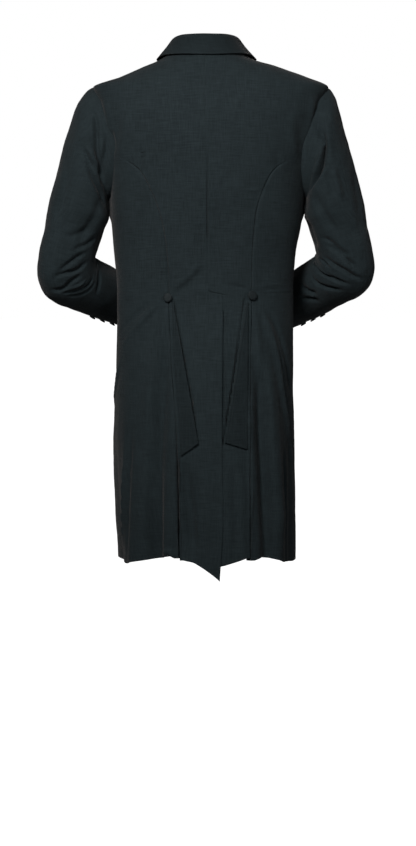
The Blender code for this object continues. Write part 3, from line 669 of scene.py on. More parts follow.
# The same with places as turn and z
CREASES_ROUND = (
    (((96, -0.48), (100, -0.54), (110, -0.64)), 0.008, -0.003),
    (((128, -0.478), (120, -0.55), (116, -0.68)), 0.01, 0.0036),
    (((108, -0.66), (112, -0.8), (110, -1.01)), 0.014, -0.0044),
    (((146, -0.6), (150, -0.78), (148, -1.0)), 0.016, 0.0046),
    (((-98, -0.482), (-104, -0.56), (-108, -0.7)), 0.009, 0.0034),
    (((-132, -0.48), (-126, -0.56), (-122, -0.64)), 0.008, -0.0032),
    (((-116, -0.64), (-114, -0.82), (-118, -1.01)), 0.015, -0.0046),
    (((-146, -0.56), (-144, -0.76), (-150, -0.99)), 0.015, 0.0042),
    (((176, -0.376), (158, -0.392), (138, -0.42)), 0.006, -0.0024, 0.2),
    (((176, -0.372), (156, -0.356), (134, -0.352)), 0.007, 0.002),
    (((-172, -0.38), (-156, -0.398), (-136, -0.43)), 0.006, -0.0022),
    (((-172, -0.372), (-152, -0.352), (-130, -0.34)), 0.007, 0.002),
    (((88, -0.236), (89, -0.285), (90, -0.334)), 0.013, 0.0052),
    (((-88, -0.236), (-89, -0.285), (-90, -0.334)), 0.013, 0.0052),
    (((112, -0.3), (122, -0.33), (136, -0.372)), 0.007, -0.0026),
    (((-112, -0.296), (-124, -0.336), (-140, -0.38)), 0.007, -0.0026),
)
TRUNK_CREASES = [crease(behind(*places), *form) for places, *form in CREASES_BEHIND]
TRUNK_CREASES += [crease(round_the_coat(*places), *form) for places, *form in CREASES_ROUND]


def trunk_piece(name, grid, seams, material, mends=()):
    """A piece of the trunk with its creases, its rolled seams and its unevenness."""
    normal = facing_out(grid, normals_of(grid))
    grid = pressed(grid, normal, [*TRUNK_CREASES, *mends])
    wobble = 0.00045 * unevenness(grid, 0.090, 3) + 0.00012 * unevenness(grid, 0.022, 5)
    grid = rolled(grid + normal * wobble[..., None], normal, seams)
    return cloth_piece(name, grid, facing_out(grid, normals_of(grid)), material, cut_straight(grid))


# The back is pressed in beside the free edges that lie on it: the flaps' and the vent's
FLAP_EDGE = {
    "l": crease(
        behind((0.069, -0.478), (0.0415, -0.630), (0.0150, -0.772)), 0.0030, -0.0062, 0.0, 0.06
    ),
    "r": crease(
        behind((-0.075, -0.476), (-0.0530, -0.630), (-0.0300, -0.772)), 0.0030, -0.0062, 0.0, 0.06
    ),
}
FLAP_FOOT = {
    "l": crease(behind((0.0100, -0.764), (0.0360, -0.781), (0.0660, -0.800)), 0.0030, -0.0006),
    "r": crease(behind((-0.0250, -0.764), (-0.0580, -0.772), (-0.0900, -0.783)), 0.0030, -0.0006),
}
VENT_PRESS = crease(
    behind((-0.0305, -0.370), (-0.0312, -0.520), (-0.0305, -0.640), (-0.0310, -0.800)), 0.0025, -0.0060
)
BACK_WOOL = wool("back_wool")
back_rise = heights(-0.4755, 0.0008, -0.4675, 0.0024, -0.070, 0.0011, -0.036, 0.0014, NECK_Z)
for tag, side in SIDES:
    share = crowded(38)
    low = back_hem(side)(share)
    hanging = low + np.linspace(0, 1, 226, endpoint=False)[:, None] * (back_rise[0] - low)
    z = np.concatenate([hanging, back_rise[:, None] + 0 * share])
    lift = vent_lift if side > 0 else None
    grid = trunk_grid(share, z, back_inner(side), back_outer(side), side, lift, pleat="front")
    seams = ("first", "high")
    mends = [FLAP_EDGE[tag], FLAP_FOOT[tag], *([VENT_PRESS] if side < 0 else [])]
    piece = trunk_piece("back_panel_" + tag, grid, seams, BACK_WOOL, mends)
    sewn_in(piece, "back_" + tag)

# ---- Side bodies -----------------------------------------------------------------------------
# A narrow panel of the same wool on each side, sewn between the curved back seam and the side
# seam, from the waist seam up into the armhole.

SIDE_SEAM = np.array([(-0.470, 84.0), (-0.400, 86.0), (-0.285, 90.0)])  # height and turn


def side_back_edge(side):
    column = 1 if side > 0 else 2
    return lambda z: turn_at(side * smooth(BACK_SEAM, column, z), z) + side * 2 * SEAM_TURN


def side_front_edge(side):
    def edge(z):
        seam = side * (smooth(SIDE_SEAM, 1, z) - SEAM_TURN)
        return np.where(z < ARM_BOTTOM, seam, turn_at_depth(armhole_half(z), z, side))

    return edge


SIDE_WOOL = wool("side_wool")
side_rise = heights(WAIST_Z - 0.0004, 0.0020, -0.288, 0.0008, -0.278, 0.0016, -0.1965)
for tag, side in SIDES:
    z = side_rise[:, None] + 0 * crowded(26)
    grid = trunk_grid(crowded(26), z, side_back_edge(side), side_front_edge(side), side)
    piece = trunk_piece("side_panel_" + tag, grid, ("first", "last", "low"), SIDE_WOOL)
    sewn_in(piece, "side_body_" + tag)

# ---- Fronts ----------------------------------------------------------------------------------
# The two fronts run from the side seam to the front edge. The left one laps over the right one
# and buttons; above the break each is turned back along its roll line.

BREAK_Z = -0.270
FRONT_LAP = 0.022
# Roll line of the lapels, from the neck to the break: height and x
ROLL_LINE = np.array([(BREAK_Z, -FRONT_LAP), (-0.180, 0.006), (-0.060, 0.044), (0.012, 0.060)])


def front_back_edge(side):
    """Side seam, armhole and shoulder seam, going up."""

    def edge(z):
        seam = side * (smooth(SIDE_SEAM, 1, z) + SEAM_TURN)
        armhole = turn_at_depth(-np.maximum(armhole_half(z), 1e-6), z, side)
        upper = np.where(z < ARM_TOP, armhole, side * (90 + SEAM_TURN))
        return np.where(z < ARM_BOTTOM, seam, upper)

    return edge


def front_edge(side):
    return lambda z: turn_in_front(
        side * np.where(z > BREAK_Z, smooth(ROLL_LINE, 1, z), -FRONT_LAP), z, side
    )


def lap_lift(point):
    """The left front and skirt lie on the right ones where they pass the centre."""
    return np.where(point[..., 1] < 0, LAYER * ease((0.080 - point[..., 0]) / 0.040), 0.0)


FRONT_WOOL = wool("front_wool")
front_rise = heights(
    WAIST_Z - 0.0004, 0.0030, -0.288, 0.0008, -0.278, 0.0028, -0.070, 0.0013, -0.036, 0.0018, NECK_Z
)
for tag, side in SIDES:
    share = crowded(66)
    z = front_rise[:, None] + 0 * share
    lift = lap_lift if side > 0 else None
    grid = trunk_grid(share, z, front_back_edge(side), front_edge(side), side, lift)
    piece = trunk_piece("front_panel_" + tag, grid, ("first", "low"), FRONT_WOOL)
    sewn_in(piece, "front_" + tag)

# ---- Lapels ----------------------------------------------------------------------------------
# The turned-back upper corner of each front, lying on it from the break up to the collar, with a
# line of small stitches set in from its edge.

LAPEL_WIDTH = np.array([(BREAK_Z, 0.006), (-0.220, 0.048), (-0.150, 0.076), (-0.080, 0.080)])
STITCH_IN, STITCH_LONG = 0.0045, 0.0042  # how far in from the edge, and from stitch to stitch
LOOSE = 0.0006  # air under a layer that lies loose on another


def lapel_inner(side):
    def edge(z):
        x = smooth(ROLL_LINE, 1, z)
        if side < 0:  # only what shows beside the left front
            x = np.maximum(x, 0.003 - x)
        return turn_in_front(side * (x + 0.0008), z, side)

    return edge


def lapel_outer(side):
    def edge(z):
        x = np.maximum(smooth(ROLL_LINE, 1, z), 0.003 if side < 0 else -1)
        return turn_in_front(side * (x + smooth(LAPEL_WIDTH, 1, z)), z, side)

    return edge


def stitched(grid, normal, edges):
    """A shallow groove with a dip at each stitch, set in along the named edges."""
    first, last, low, high = edge_distances(grid)
    total = np.zeros(grid.shape[:2])
    for name, distance, along in (
        ("first", first, low), ("last", last, low), ("low", low, first), ("high", high, first),
    ):
        if name in edges:
            beat = 0.65 + 0.35 * np.cos(2 * math.pi * along / STITCH_LONG)
            total = total + 0.0005 * beat * np.exp(-(((distance - STITCH_IN) / 0.0009) ** 2))
    return grid - normal * total[..., None]


LAPEL_WOOL = wool("lapel_wool", slub=0.8, lighter=1.05)
for tag, side in SIDES:
    share = crowded(44)
    rise = np.linspace(0, 1, 110)[:, None]
    z = BREAK_Z + 0.004 + rise * (0.198 - 0.020 * share)

    def lapel_lift(point, side=side):
        return LAYER + LOOSE + (lap_lift(point) if side > 0 else 0.0)

    grid = trunk_grid(share, z, lapel_outer(side), lapel_inner(side), side, lapel_lift)
    normal = facing_out(grid, normals_of(grid))
    grid = stitched(grid, normal, ("first", "high"))
    grid = rolled(grid, normal, ("first", "high"), 0.0008, 0.0014)
    normal = facing_out(grid, normals_of(grid))
    piece = cloth_piece("lapel_fold_" + tag, grid, normal, LAPEL_WOOL, (grid[..., 0], grid[..., 2]))
    sewn_in(piece, "lapel_" + tag)

# ---- Skirts ----------------------------------------------------------------------------------
# One piece on each side, sewn to the waist seam, from the back pleat round to the front edge. It
# turns in at the pleat and hangs in soft flutes.


def skirt_back_edge(side):
    column = 1 if side > 0 else 2
    return lambda z: turn_at(
        side * (smooth(PLEAT_LINE, column, z) + smooth(PLEAT_MOUTH, column, z)), z
    )


SKIRT_WOOL = wool("skirt_wool", lighter=0.96)
for tag, side in SIDES:
    share = crowded(104, 0.5)
    low = np.interp(side * (22 + 158 * share), HEM[:, 0], HEM[:, 1])
    z = low + np.linspace(0, 1, 178)[:, None] * (WAIST_Z + 0.0004 - low)
    lift = lap_lift if side > 0 else None
    grid = trunk_grid(share, z, skirt_back_edge(side), front_edge(side), side, lift, pleat="back")
    piece = trunk_piece("skirt_panel_" + tag, grid, (), SKIRT_WOOL)
    sewn_in(piece, "skirt_" + tag)

# ---- Pleat flaps -----------------------------------------------------------------------------
# A pointed flap of doubled wool in each back pleat, caught under the hip button and sewn down its
# outer edge, with its free edge stitched.

FLAPS = {
    # height of the top, height and x of the free corner, height of the sewn corner
    "l": (-0.492, -0.764, 0.0170, -0.788),
    "r": (-0.490, -0.762, 0.0330, -0.776),
}
FLAP_GAPE = 0.0034  # how far the free edge stands off the back
# The flaps' wool is a darker copy of the back's (lighter=0.74): painted shade.
FLAP_WOOL = wool("flap_wool", slub=1.1, lighter=0.74)
for tag, side in SIDES:
    top, corner_z, corner_x, sewn_z = FLAPS[tag]
    column = 1 if side > 0 else 2

    def sewn(z, side=side, column=column):
        return turn_at(side * (smooth(PLEAT_LINE, column, z) - 0.0065), z)

    def free(z, side=side, column=column, top=top, low=corner_z, x=corner_x):
        start = smooth(PLEAT_LINE, column, top) - 0.010
        return turn_at(side * (start + (x - start) * (z - top) / (low - top)), z)

    def flap_lift(point, side=side):
        return LAYER + LOOSE + (vent_lift(point) if side > 0 else 0.0)

    share = crowded(36)
    v = np.linspace(0, 1, 190)[:, None]
    z = (corner_z + (sewn_z - corner_z) * share) * (1 - v) + top * v
    grid = trunk_grid(share, z, free, sewn, side, flap_lift)
    normal = facing_out(grid, normals_of(grid))
    gape = FLAP_GAPE * (1 - share) ** 1.5 * ease((1 - v) * 4) * (0.7 + 0.3 * np.sin(v * 9 + side))
    grid = grid + normal * gape[..., None]
    grid = stitched(grid, normal, ("first", "low"))
    grid = rolled(grid, normal, ("first", "low", "last"), 0.0007, 0.0012)
    normal = facing_out(grid, normals_of(grid))
    piece = cloth_piece("flap_" + tag, grid, normal, FLAP_WOOL, (grid[..., 0], grid[..., 2]))
    sewn_in(piece, "pleat_flap_" + tag)

# ---- Collar ----------------------------------------------------------------------------------
# One sheet of wool over canvas: the stand rises from the neckline, folds over, and the fall lies
# on the shoulders and runs down to the lapels.

COLLAR = np.array([
    # along, stand, lean, reach, lying down; up to 131 along is the turn at the neckline, and
    # beyond it each step of one is a millimetre down the roll line
    (0, 0.0300, 0.007, 0.0150, 0.0),
    (40, 0.0300, 0.010, 0.0165, 0.0),
    (70, 0.0300, 0.015, 0.0185, 0.0),
    (90, 0.0285, 0.016, 0.0210, 0.0),
    (112, 0.0240, 0.010, 0.0290, 0.2),
    (131, 0.0190, 0.004, 0.0360, 0.5),
    (155, 0.0090, 0.000, 0.0440, 0.9),
    (197, 0.0062, 0.000, 0.0460, 1.0),
])
COLLAR_STATIONS = (0, 16, 32, 46, 58, 69, 79, 88, 97, 108, 119, 131, 145, 168, 197)
COLLAR_FRONT = 131


def on_body(point, out):
    """The place on the trunk level with a point and in line with it, moved out."""
    x, y, z = point
    along = y / (smooth(SECTIONS, 3, z) if y >= 0 else smooth(SECTIONS, 4, z))
    found, normal = body_frame(np.degrees(np.arctan2(x / half_width(x, z), along)), z)
    return found + normal * out


def collar_section(station, side):
    """Points from the edge of the fall, over the fold, and down the inside to the neckline."""
    stand, lean, reach, lying = (smooth(COLLAR, column, station) for column in (1, 2, 3, 4))
    z = NECK_Z - max(0, station - COLLAR_FRONT) * 0.001
    turn = side * station if station <= COLLAR_FRONT else side * front_edge(1)(z)
    base, normal = body_frame(np.float64(turn), np.float64(z))
    below = unit(body(turn, z - 0.008) - base)
    across = unit(np.cross(normal, unit(np.array([-0.36 * side, 0, -0.93])))) * side
    down = unit(below * (1 - lying) + across * lying)
    radial = unit(np.array([base[0], base[1], 0]))
    up = unit(np.array([0, 0, 1.0]) * (1 - lying) + normal * lying)
    away = unit(radial * (1 - lying) + down * lying)
    out = LAYER + 0.0034
    edge = on_body(base + down * reach, out)
    fold = base + up * stand - away * lean
    middle = edge * 0.55 + fold * 0.45 + (normal + up) * 0.0012
    if lying > 0:
        rest = on_body(base + down * reach * 0.5, out + 0.001)
        middle = middle * (1 - lying) + rest * lying
    return [
        edge,
        middle,
        edge * 0.2 + fold * 0.8 + unit(normal + up + away) * 0.0042,
        fold + up * 0.0006 + away * 0.0022,
        fold - away * 0.0024,
        base * 0.45 + fold * 0.55 - away * 0.0034,
        base + up * 0.0010 - away * 0.0022,
    ]


sections = [collar_section(station, -1) for station in COLLAR_STATIONS[:0:-1]]
sections = np.array(sections + [collar_section(station, 1) for station in COLLAR_STATIONS])
grid = through(sections, np.linspace(0, len(sections) - 1, 240))
around = np.concatenate([[0, 0.06, 0.13], np.linspace(0.22, 6, 44)])
grid = through(grid.transpose(1, 0, 2), around).transpose(1, 0, 2)
normal = normals_of(grid)
if normal[len(grid) // 2, 0, 1] < 0:
    normal = -normal
grid = grid + normal * (0.0003 * unevenness(grid, 0.05, 8))[..., None]
grid = stitched(grid, normal, ("first",))
across, _, along, _ = edge_distances(grid)
# The collar's wool is a darker copy of the back's (lighter=0.77): painted shade.
COLLAR_WOOL = wool("collar_wool", slub=0.8, lighter=0.77)
collar = cloth_piece("collar_sheet", grid, normal, COLLAR_WOOL, (across, along))
sewn_in(collar, "collar")

# ---- Sleeves ---------------------------------------------------------------------------------
# Two pieces on each arm: a top sleeve outside and an under sleeve against the body, joined along
# the inner bend of the arm and along its back. The cloth is bunched in folds at the elbow.

# Outermost point of each ring below the armhole on the left and the right, the point against the
# body, half the ring's depth front to back, and its middle's y
CLOSER = 0.003  # how much nearer to the middle the right sleeve lies against the body
SLEEVE_HEAD = (
    # left x   left z   right x  right z  body x  body z  half   y
    (0.2440, -0.0700, 0.2480, -0.0665, 0.1980, -0.2870, 0.069, 0.000),
    (0.2590, -0.0910, 0.2590, -0.0880, 0.1980, -0.2900, 0.073, 0.001),
    (0.2720, -0.1270, 0.2680, -0.1240, 0.1980, -0.2950, 0.074, 0.002),
    (0.2860, -0.1720, 0.2810, -0.1720, 0.1975, -0.3010, 0.072, 0.003),
    (0.3020, -0.2340, 0.2980, -0.2340, 0.1970, -0.3100, 0.068, 0.004),
    (0.3170, -0.2900, 0.3120, -0.2900, 0.1975, -0.3240, 0.065, 0.005),
)
# Corner of the elbow and middle of the cuff
ARMS = {
    "l": ((0.290, 0.000, -0.432), (0.150, -0.178, -0.498)),
    "r": ((-0.282, 0.000, -0.421), (-0.150, -0.172, -0.502)),
}
ELBOW_RADIUS = 0.066
SEAM_AT = 213.0  # where the inner sleeve seam leaves the armhole, in degrees from its back
# Arm rings: share of the stretch, push towards the elbow's point, half width, half thickness
UPPER_ARM = ((0.35, 0.000, 0.062, 0.058), (0.70, 0.000, 0.060, 0.055))
ELBOW = (
    (0.0, 0.001, 0.060, 0.053), (0.2, 0.003, 0.061, 0.052), (0.4, 0.006, 0.065, 0.052),
    (0.6, 0.007, 0.066, 0.052), (0.8, 0.003, 0.061, 0.052), (1.0, 0.000, 0.057, 0.052),
)
FOREARM = ((0.34, 0.000, 0.055, 0.051), (0.68, 0.000, 0.051, 0.049), (1.0, 0.000, 0.047, 0.045))
RING = 20


def sleeve_rings(tag, side):
    """Rings of points from the armhole to the cuff, and the forearm's own directions."""
    turns = np.radians(SEAM_AT - 360 * np.arange(RING) / RING)
    middle, half = (ARM_TOP + ARM_BOTTOM) / 2, (ARM_TOP - ARM_BOTTOM) / 2
    y, z = ARM_HALF * np.cos(turns), middle + half * np.sin(turns)
    point, normal = body_frame(turn_at_depth(y, z, side), z)
    rings = [point + normal * 0.0012]
    for lx, lz, rx, rz, ux, uz, deep, y in SLEEVE_HEAD:
        ox, oz, ux = (lx, lz, ux) if side > 0 else (rx, rz, ux - CLOSER)
        centre = np.array([side * (ox + ux) / 2, y, (oz + uz) / 2])
        rise = np.array([side * (ox - ux) / 2, 0, (oz - uz) / 2])
        rings.append(centre + rise * np.sin(turns)[:, None] + np.outer(np.cos(turns), [0, deep, 0]))
    elbow, cuff = (np.array(p) for p in ARMS[tag])
    down, fore = unit(elbow - centre), unit(cuff - elbow)
    bend = math.acos(np.dot(down, fore))
    forward = unit(fore - down * np.dot(down, fore))
    outward = unit(np.cross(down, forward))
    if outward[0] * side < 0:
        outward = -outward
    corner = ELBOW_RADIUS * math.tan(bend / 2)
    straight = np.linalg.norm(elbow - centre) - corner
    pivot = centre + down * straight + forward * ELBOW_RADIUS
    fore_start = elbow + fore * corner
    fore_length = np.linalg.norm(cuff - fore_start)
    frames = [(centre + down * straight * s, forward, w, t) for s, _, w, t in UPPER_ARM]
    for s, push, w, t in ELBOW:
        inner = forward * math.cos(bend * s) - down * math.sin(bend * s)
        frames.append((pivot - inner * (ELBOW_RADIUS + push), inner, w, t))
    frames += [(fore_start + fore * fore_length * s, inner, w, t) for s, _, w, t in FOREARM]
    turns = 2 * math.pi * np.arange(RING) / RING
    for at, inner, w, t in frames:
        rings.append(at + np.outer(np.cos(turns), inner * w) + np.outer(np.sin(turns), outward * t))
    return np.array(rings), (fore_start, fore, fore_length, inner, outward)


# Creases of each sleeve: places as ring and degrees round the arm from the inner seam, then half
# the width, how far out and the lean
SLEEVE_CREASES = {
    "l": (
        (((9.9, 278), (10.7, 254), (10.8, 222), (11.1, 200)), 0.005, -0.0063, 0.2),
        (((11.2, 266), (11.4, 242), (11.7, 220), (11.6, 190)), 0.005, -0.0063, 0.2),
        (((11.9, 290), (12.7, 270), (12.4, 248), (12.1, 228), (11.8, 208)), 0.0036, -0.0049, 0.2),
        (((13.1, 280), (13.2, 264), (12.8, 242), (12.2, 220)), 0.0036, -0.0039, 0.0),
        (((7.4, 282), (8.3, 264), (9.3, 234)), 0.006, -0.0046, 0.2),
        (((8.8, 270), (9.9, 244), (10.4, 226), (10.8, 208)), 0.005, -0.0053, 0.2),
        (((6.9, 258), (7.8, 232), (8.2, 210)), 0.007, -0.0035, 0.0),
        (((3.0, 190), (2.7, 220), (0.8, 254)), 0.006, -0.0053, 0.2),
        (((0.4, 216), (0.8, 232), (2.3, 246)), 0.0045, -0.0042, 0.0),
        (((2.5, 260), (6.7, 252), (9.0, 238)), 0.01, -0.0045, 0.0),
        (((12.0, 270), (12.0, 252), (11.8, 226)), 0.003, 0.0032, 0.0),
        (((13.7, 310), (14.0, 278), (14.1, 254)), 0.005, -0.0042, 0.0),
        (((4.2, 178), (5.8, 182), (8.7, 198)), 0.012, -0.0026, 0.0),
        (((10.0, 350), (10.5, 385), (10.9, 430), (11.1, 470)), 0.005, -0.0059, 0.2),
        (((11.2, 362), (11.6, 400), (11.6, 445), (11.4, 500)), 0.0046, -0.0059, -0.2),
        (((12.6, 356), (12.4, 390), (12.1, 430), (11.8, 480)), 0.004, -0.0053, 0.0),
        (((8.9, 352), (9.2, 390), (9.8, 440)), 0.006, -0.0046, 0.2),
        (((14.2, 366), (14.0, 400), (13.6, 440)), 0.006, -0.0039, 0.0),
        (((1.4, 330), (2.6, 372), (3.6, 420)), 0.007, -0.0048, 0.0),
        (((2.6, 338), (4.2, 380), (5.4, 430)), 0.008, -0.0038, 0.2),
        (((16.2, 250), (16.0, 300), (16.3, 350)), 0.006, -0.0024, 0.0),
        (((1.5, 300), (3.2, 300), (5.2, 299)), 0.01, 0.003, 0.0),
        (((6.2, 304), (7.6, 304), (8.8, 304), (9.8, 304)), 0.018, -0.004, 0.0),
        (((0.5, 172), (0.7, 200), (0.9, 222), (0.8, 250)), 0.0052, -0.0066, 0.2),
        (((0.2, 200), (0.4, 222), (0.8, 240), (2.6, 256)), 0.005, -0.006, 0.0),
        (((3.2, 204), (3.4, 234), (3.4, 262), (4.9, 280)), 0.0056, -0.0076, 0.2),
        (((2.2, 206), (2.2, 228), (2.4, 246)), 0.007, 0.004, 0.0),
    ),
    "r": (
        (((7.7, 270), (8.7, 250), (9.7, 230), (10.0, 214)), 0.0048, -0.0066, -0.2),
        (((8.3, 268), (9.6, 244), (10.3, 224), (10.9, 204)), 0.005, -0.0079, -0.2),
        (((9.7, 282), (10.5, 262), (10.9, 234), (11.2, 212), (11.4, 188)), 0.0048, -0.0079, -0.2),
        (((10.4, 296), (10.8, 276), (11.2, 264)), 0.003, -0.0057, 0.0),
        (((14.1, 322), (12.5, 290), (12.0, 262), (11.8, 236), (11.7, 212)), 0.0046, -0.0083, -0.2),
        (((14.1, 290), (13.8, 264), (12.8, 244), (12.2, 222)), 0.0044, -0.007, -0.2),
        (((14.7, 282), (14.5, 262), (14.2, 248)), 0.005, -0.0066, 0.0),
        (((15.0, 258), (14.6, 246), (14.3, 232)), 0.005, -0.0057, 0.0),
        (((1.1, 202), (3.0, 212), (2.2, 252)), 0.006, -0.0066, -0.2),
        (((0.2, 188), (0.8, 202), (1.3, 214)), 0.0045, -0.0035, 0.0),
        (((3.2, 254), (6.2, 236), (8.2, 230)), 0.01, -0.0056, 0.0),
        (((3.9, 200), (4.8, 200), (5.8, 196)), 0.007, 0.0036, 0.0),
        (((12.6, 312), (12.0, 278), (11.8, 252)), 0.003, 0.0044, 0.0),
        (((4.5, 148), (6.1, 162), (9.1, 182)), 0.012, -0.0028, 0.0),
        (((9.8, 352), (10.4, 388), (10.8, 425), (11.0, 476)), 0.0048, -0.0074, -0.2),
        (((11.0, 358), (11.4, 402), (11.6, 450), (11.5, 492)), 0.005, -0.0079, 0.2),
        (((12.8, 360), (12.3, 396), (12.0, 440), (11.9, 474)), 0.0042, -0.0061, 0.0),
        (((8.7, 350), (9.3, 396), (9.9, 446)), 0.006, -0.0052, -0.2),
        (((14.4, 364), (13.9, 402), (13.5, 436)), 0.0056, -0.0052, 0.0),
        (((1.3, 334), (2.4, 368), (3.8, 424)), 0.007, -0.0056, 0.0),
        (((2.8, 340), (4.0, 384), (5.6, 426)), 0.008, -0.0052, 0.2),
        (((16.3, 246), (16.1, 300), (16.2, 356)), 0.006, -0.003, 0.0),
        (((1.5, 300), (3.2, 300), (5.2, 299)), 0.01, 0.0037, 0.0),
        (((5.6, 306), (7.2, 306), (8.6, 306), (9.8, 306)), 0.02, -0.0088, 0.0),
        (
            ((0.6, 184), (0.8, 196), (2.2, 207), (2.8, 226), (2.3, 252), (1.3, 276)),
            0.0052, -0.009, -0.2,
        ),
        (((1.4, 216), (1.7, 232), (1.4, 252)), 0.007, 0.0045, 0.0),
        (((2.9, 216), (4.1, 213), (5.6, 211)), 0.008, -0.0037, 0.0),
    ),
}
SLEEVE_WOOL = wool("sleeve_wool", slub=0.9, cloud=1.3, lighter=0.98)
SLEEVE_ROWS, SLEEVE_COLUMNS, LAST_RING = 270, 56, 17
SLEEVE_SEAM = 0.002  # share of a ring's step left open at each sleeve seam
SLEEVE_TURN_IN = (0.011, 0.007, 0.003)  # depths of the rows that turn in at the armhole
arms = {}
for tag, side in SIDES:
    rings, arms[tag] = sleeve_rings(tag, side)
    inwards = unit(rings[0] * [1, 0, 0]) * -1
    rings = through(rings, np.linspace(0, len(rings) - 1, SLEEVE_ROWS))

    def on_sleeve(places, rings=rings):
        """A line on the sleeve through places given as ring and degrees."""
        at, degrees = np.array(places, float).T
        row = at / LAST_RING * (SLEEVE_ROWS - 1)
        low = np.clip(np.floor(row).astype(int), 0, SLEEVE_ROWS - 1)
        return np.array([
            through(rings[r], np.array([d / 360 * RING]), ring=True)[0] for r, d in zip(low, degrees)
        ])

    creases = [crease(on_sleeve(line), *rest) for line, *rest in SLEEVE_CREASES[tag]]
    for name, cad, start, flat, area in (
        ("top_sleeve_", "sleeve_top_", 0, (0.24, 0.68), 0.105),
        ("under_sleeve_", "sleeve_under_", RING / 2, (0.20, 0.62), 0.081),
    ):
        at = start + SLEEVE_SEAM + crowded(SLEEVE_COLUMNS, 0.5) * (RING / 2 - 2 * SLEEVE_SEAM)
        grid = through(rings.transpose(1, 0, 2), at, ring=True).transpose(1, 0, 2)
        whole = through(rings.transpose(1, 0, 2), np.arange(0, RING, 0.25), ring=True)
        centre = whole.transpose(1, 0, 2).mean(axis=1, keepdims=True)
        normal = normals_of(grid)
        if (normal * (grid - centre)).sum() < 0:
            normal = -normal
        grid = pressed(grid, normal, creases)
        wobble = 0.0006 * unevenness(grid, 0.060, 11) + 0.00015 * unevenness(grid, 0.018, 12)
        grid = grid + normal * wobble[..., None]
        grid = rolled(grid, normal, ("first", "last", "low"), 0.0004, 0.0012)
        turn_in = through(inwards, at, ring=True)
        grid = np.concatenate([*(grid[:1] + turn_in * deep for deep in SLEEVE_TURN_IN), grid])
        centre = np.concatenate([centre[:1]] * len(SLEEVE_TURN_IN) + [centre])
        normal = normals_of(grid)
        if (normal * (grid - centre)).sum() < 0:
            normal = -normal
        middles = centre[:, 0]
        axis = unit(np.gradient(middles, axis=0) + [0, 0, -1e-6])
        down = np.cumsum(np.linalg.norm(np.diff(middles, axis=0, prepend=middles[:1]), axis=1))
        down = down[:, None] + ((grid - centre) * axis[:, None]).sum(-1)
        around = edge_distances(grid)[0]
        around = around - around[:, SLEEVE_COLUMNS // 2, None]
        piece = cloth_piece(name + tag, grid, normal, SLEEVE_WOOL, (around, down))
        sewn_in(piece, cad + tag)

# ---- Buttons ---------------------------------------------------------------------------------
# Covered buttons: a turned mould with a disc of the coat's wool drawn over it and gathered
# underneath. Two at the hips, three on each cuff and three down the left front.

HIP_BUTTON, CUFF_BUTTON = 0.020, 0.014  # diameters; the front buttons are as large as the hip ones
BUTTON_THICK = 0.28  # share of the diameter
# The button cloth is darkened below the coat's wool as painted shade, standing in for the shadow round
# each button.
BUTTON_PAINTED_SHADE = 0.42, 0.62  # how dark the drawn cloth is beside the coat's, in its weave and its nap: painted shade


def pick_faces(mesh, chosen):
    """Selects in edit mode the faces for which chosen(middle, normal) is true."""
    bpy.ops.object.mode_set(mode="OBJECT")
    for face in mesh.polygons:
        face.select = chosen(face.center, face.normal)
    for corner in mesh.vertices:
        corner.select = False
    for edge in mesh.edges:
        edge.select = False
    for face in mesh.polygons:
        if face.select:
            for v in face.vertices:
                mesh.vertices[v].select = True
    bpy.ops.object.mode_set(mode="EDIT")
    bpy.ops.mesh.select_mode(type="FACE")


def covered_button(across, material):
    """One button, standing on its back at the origin with its dome up."""
    thick = across * BUTTON_THICK
    bpy.ops.mesh.primitive_cylinder_add(
        vertices=28, radius=across * 0.46, depth=thick * 0.5, location=(0, 0, thick * 0.42),
        end_fill_type="NGON",
    )
    made = bpy.context.object
    bpy.ops.object.transform_apply(location=True, rotation=True, scale=True)
    pick_faces(made.data, lambda middle, normal: normal.z > 0.9)
    for inset, rise in ((0.05, 0.14), (0.06, 0.07), (0.14, 0.03)):
        bpy.ops.mesh.inset(thickness=across * inset, depth=thick * rise)
    pick_faces(made.data, lambda middle, normal: normal.z < -0.9)
    for inset, rise in ((0.07, 0.10), (0.16, 0.07), (0.06, -0.05)):
        bpy.ops.mesh.inset(thickness=across * inset, depth=thick * rise)
    bpy.ops.object.mode_set(mode="OBJECT")
    rounding = made.modifiers.new("rounding", "SUBSURF")
    rounding.levels = rounding.render_levels = 2
    bpy.ops.object.modifier_apply(modifier=rounding.name)
    made.data.materials.append(material)
    made.data.shade_smooth()
    made.select_set(False)
    return made


def button_cloth():
    """The same wool drawn tight over the mould, so smoother and with a little more gloss, and darkened
    as painted shade.
    """
    made = bpy.data.materials.new("button_wool")
    made.use_nodes = True
    add, join, maths = nodes_of(made.node_tree)
    shader = made.node_tree.nodes["Principled BSDF"]
    place = add("ShaderNodeTexCoord")
    weave = add("ShaderNodeGroup", node_tree=WEAVE)
    weave.inputs["Slub"].default_value = 0.5
    join(place.outputs["Object"], weave.inputs["Place"])
    ramp = add("ShaderNodeValToRGB")
    ramp.color_ramp.elements[0].color = dyed(BLACK, BUTTON_PAINTED_SHADE[0])
    ramp.color_ramp.elements[1].color = dyed(NAP, BUTTON_PAINTED_SHADE[1])
    join(weave.outputs["Tone"], ramp.inputs[0])
    join(ramp.outputs[0], shader.inputs["Base Color"])
    less = maths("MULTIPLY", weave.outputs["Tone"], 0.12)
    join(maths("SUBTRACT", 0.66, less), shader.inputs["Roughness"])
    shader.inputs["Specular IOR Level"].default_value = 0.10
    shader.inputs["Sheen Weight"].default_value = 0.03
    shader.inputs["Sheen Roughness"].default_value = 0.4
    shader.inputs["Sheen Tint"].default_value = (*SHEEN_TINT, 1)
    bump = add("ShaderNodeBump")
    bump.inputs["Strength"].default_value = 0.4
    bump.inputs["Distance"].default_value = 0.0003
    join(weave.outputs["Height"], bump.inputs["Height"])
    join(bump.outputs[0], shader.inputs["Normal"])
    return made


BUTTON_WOOL = button_cloth()


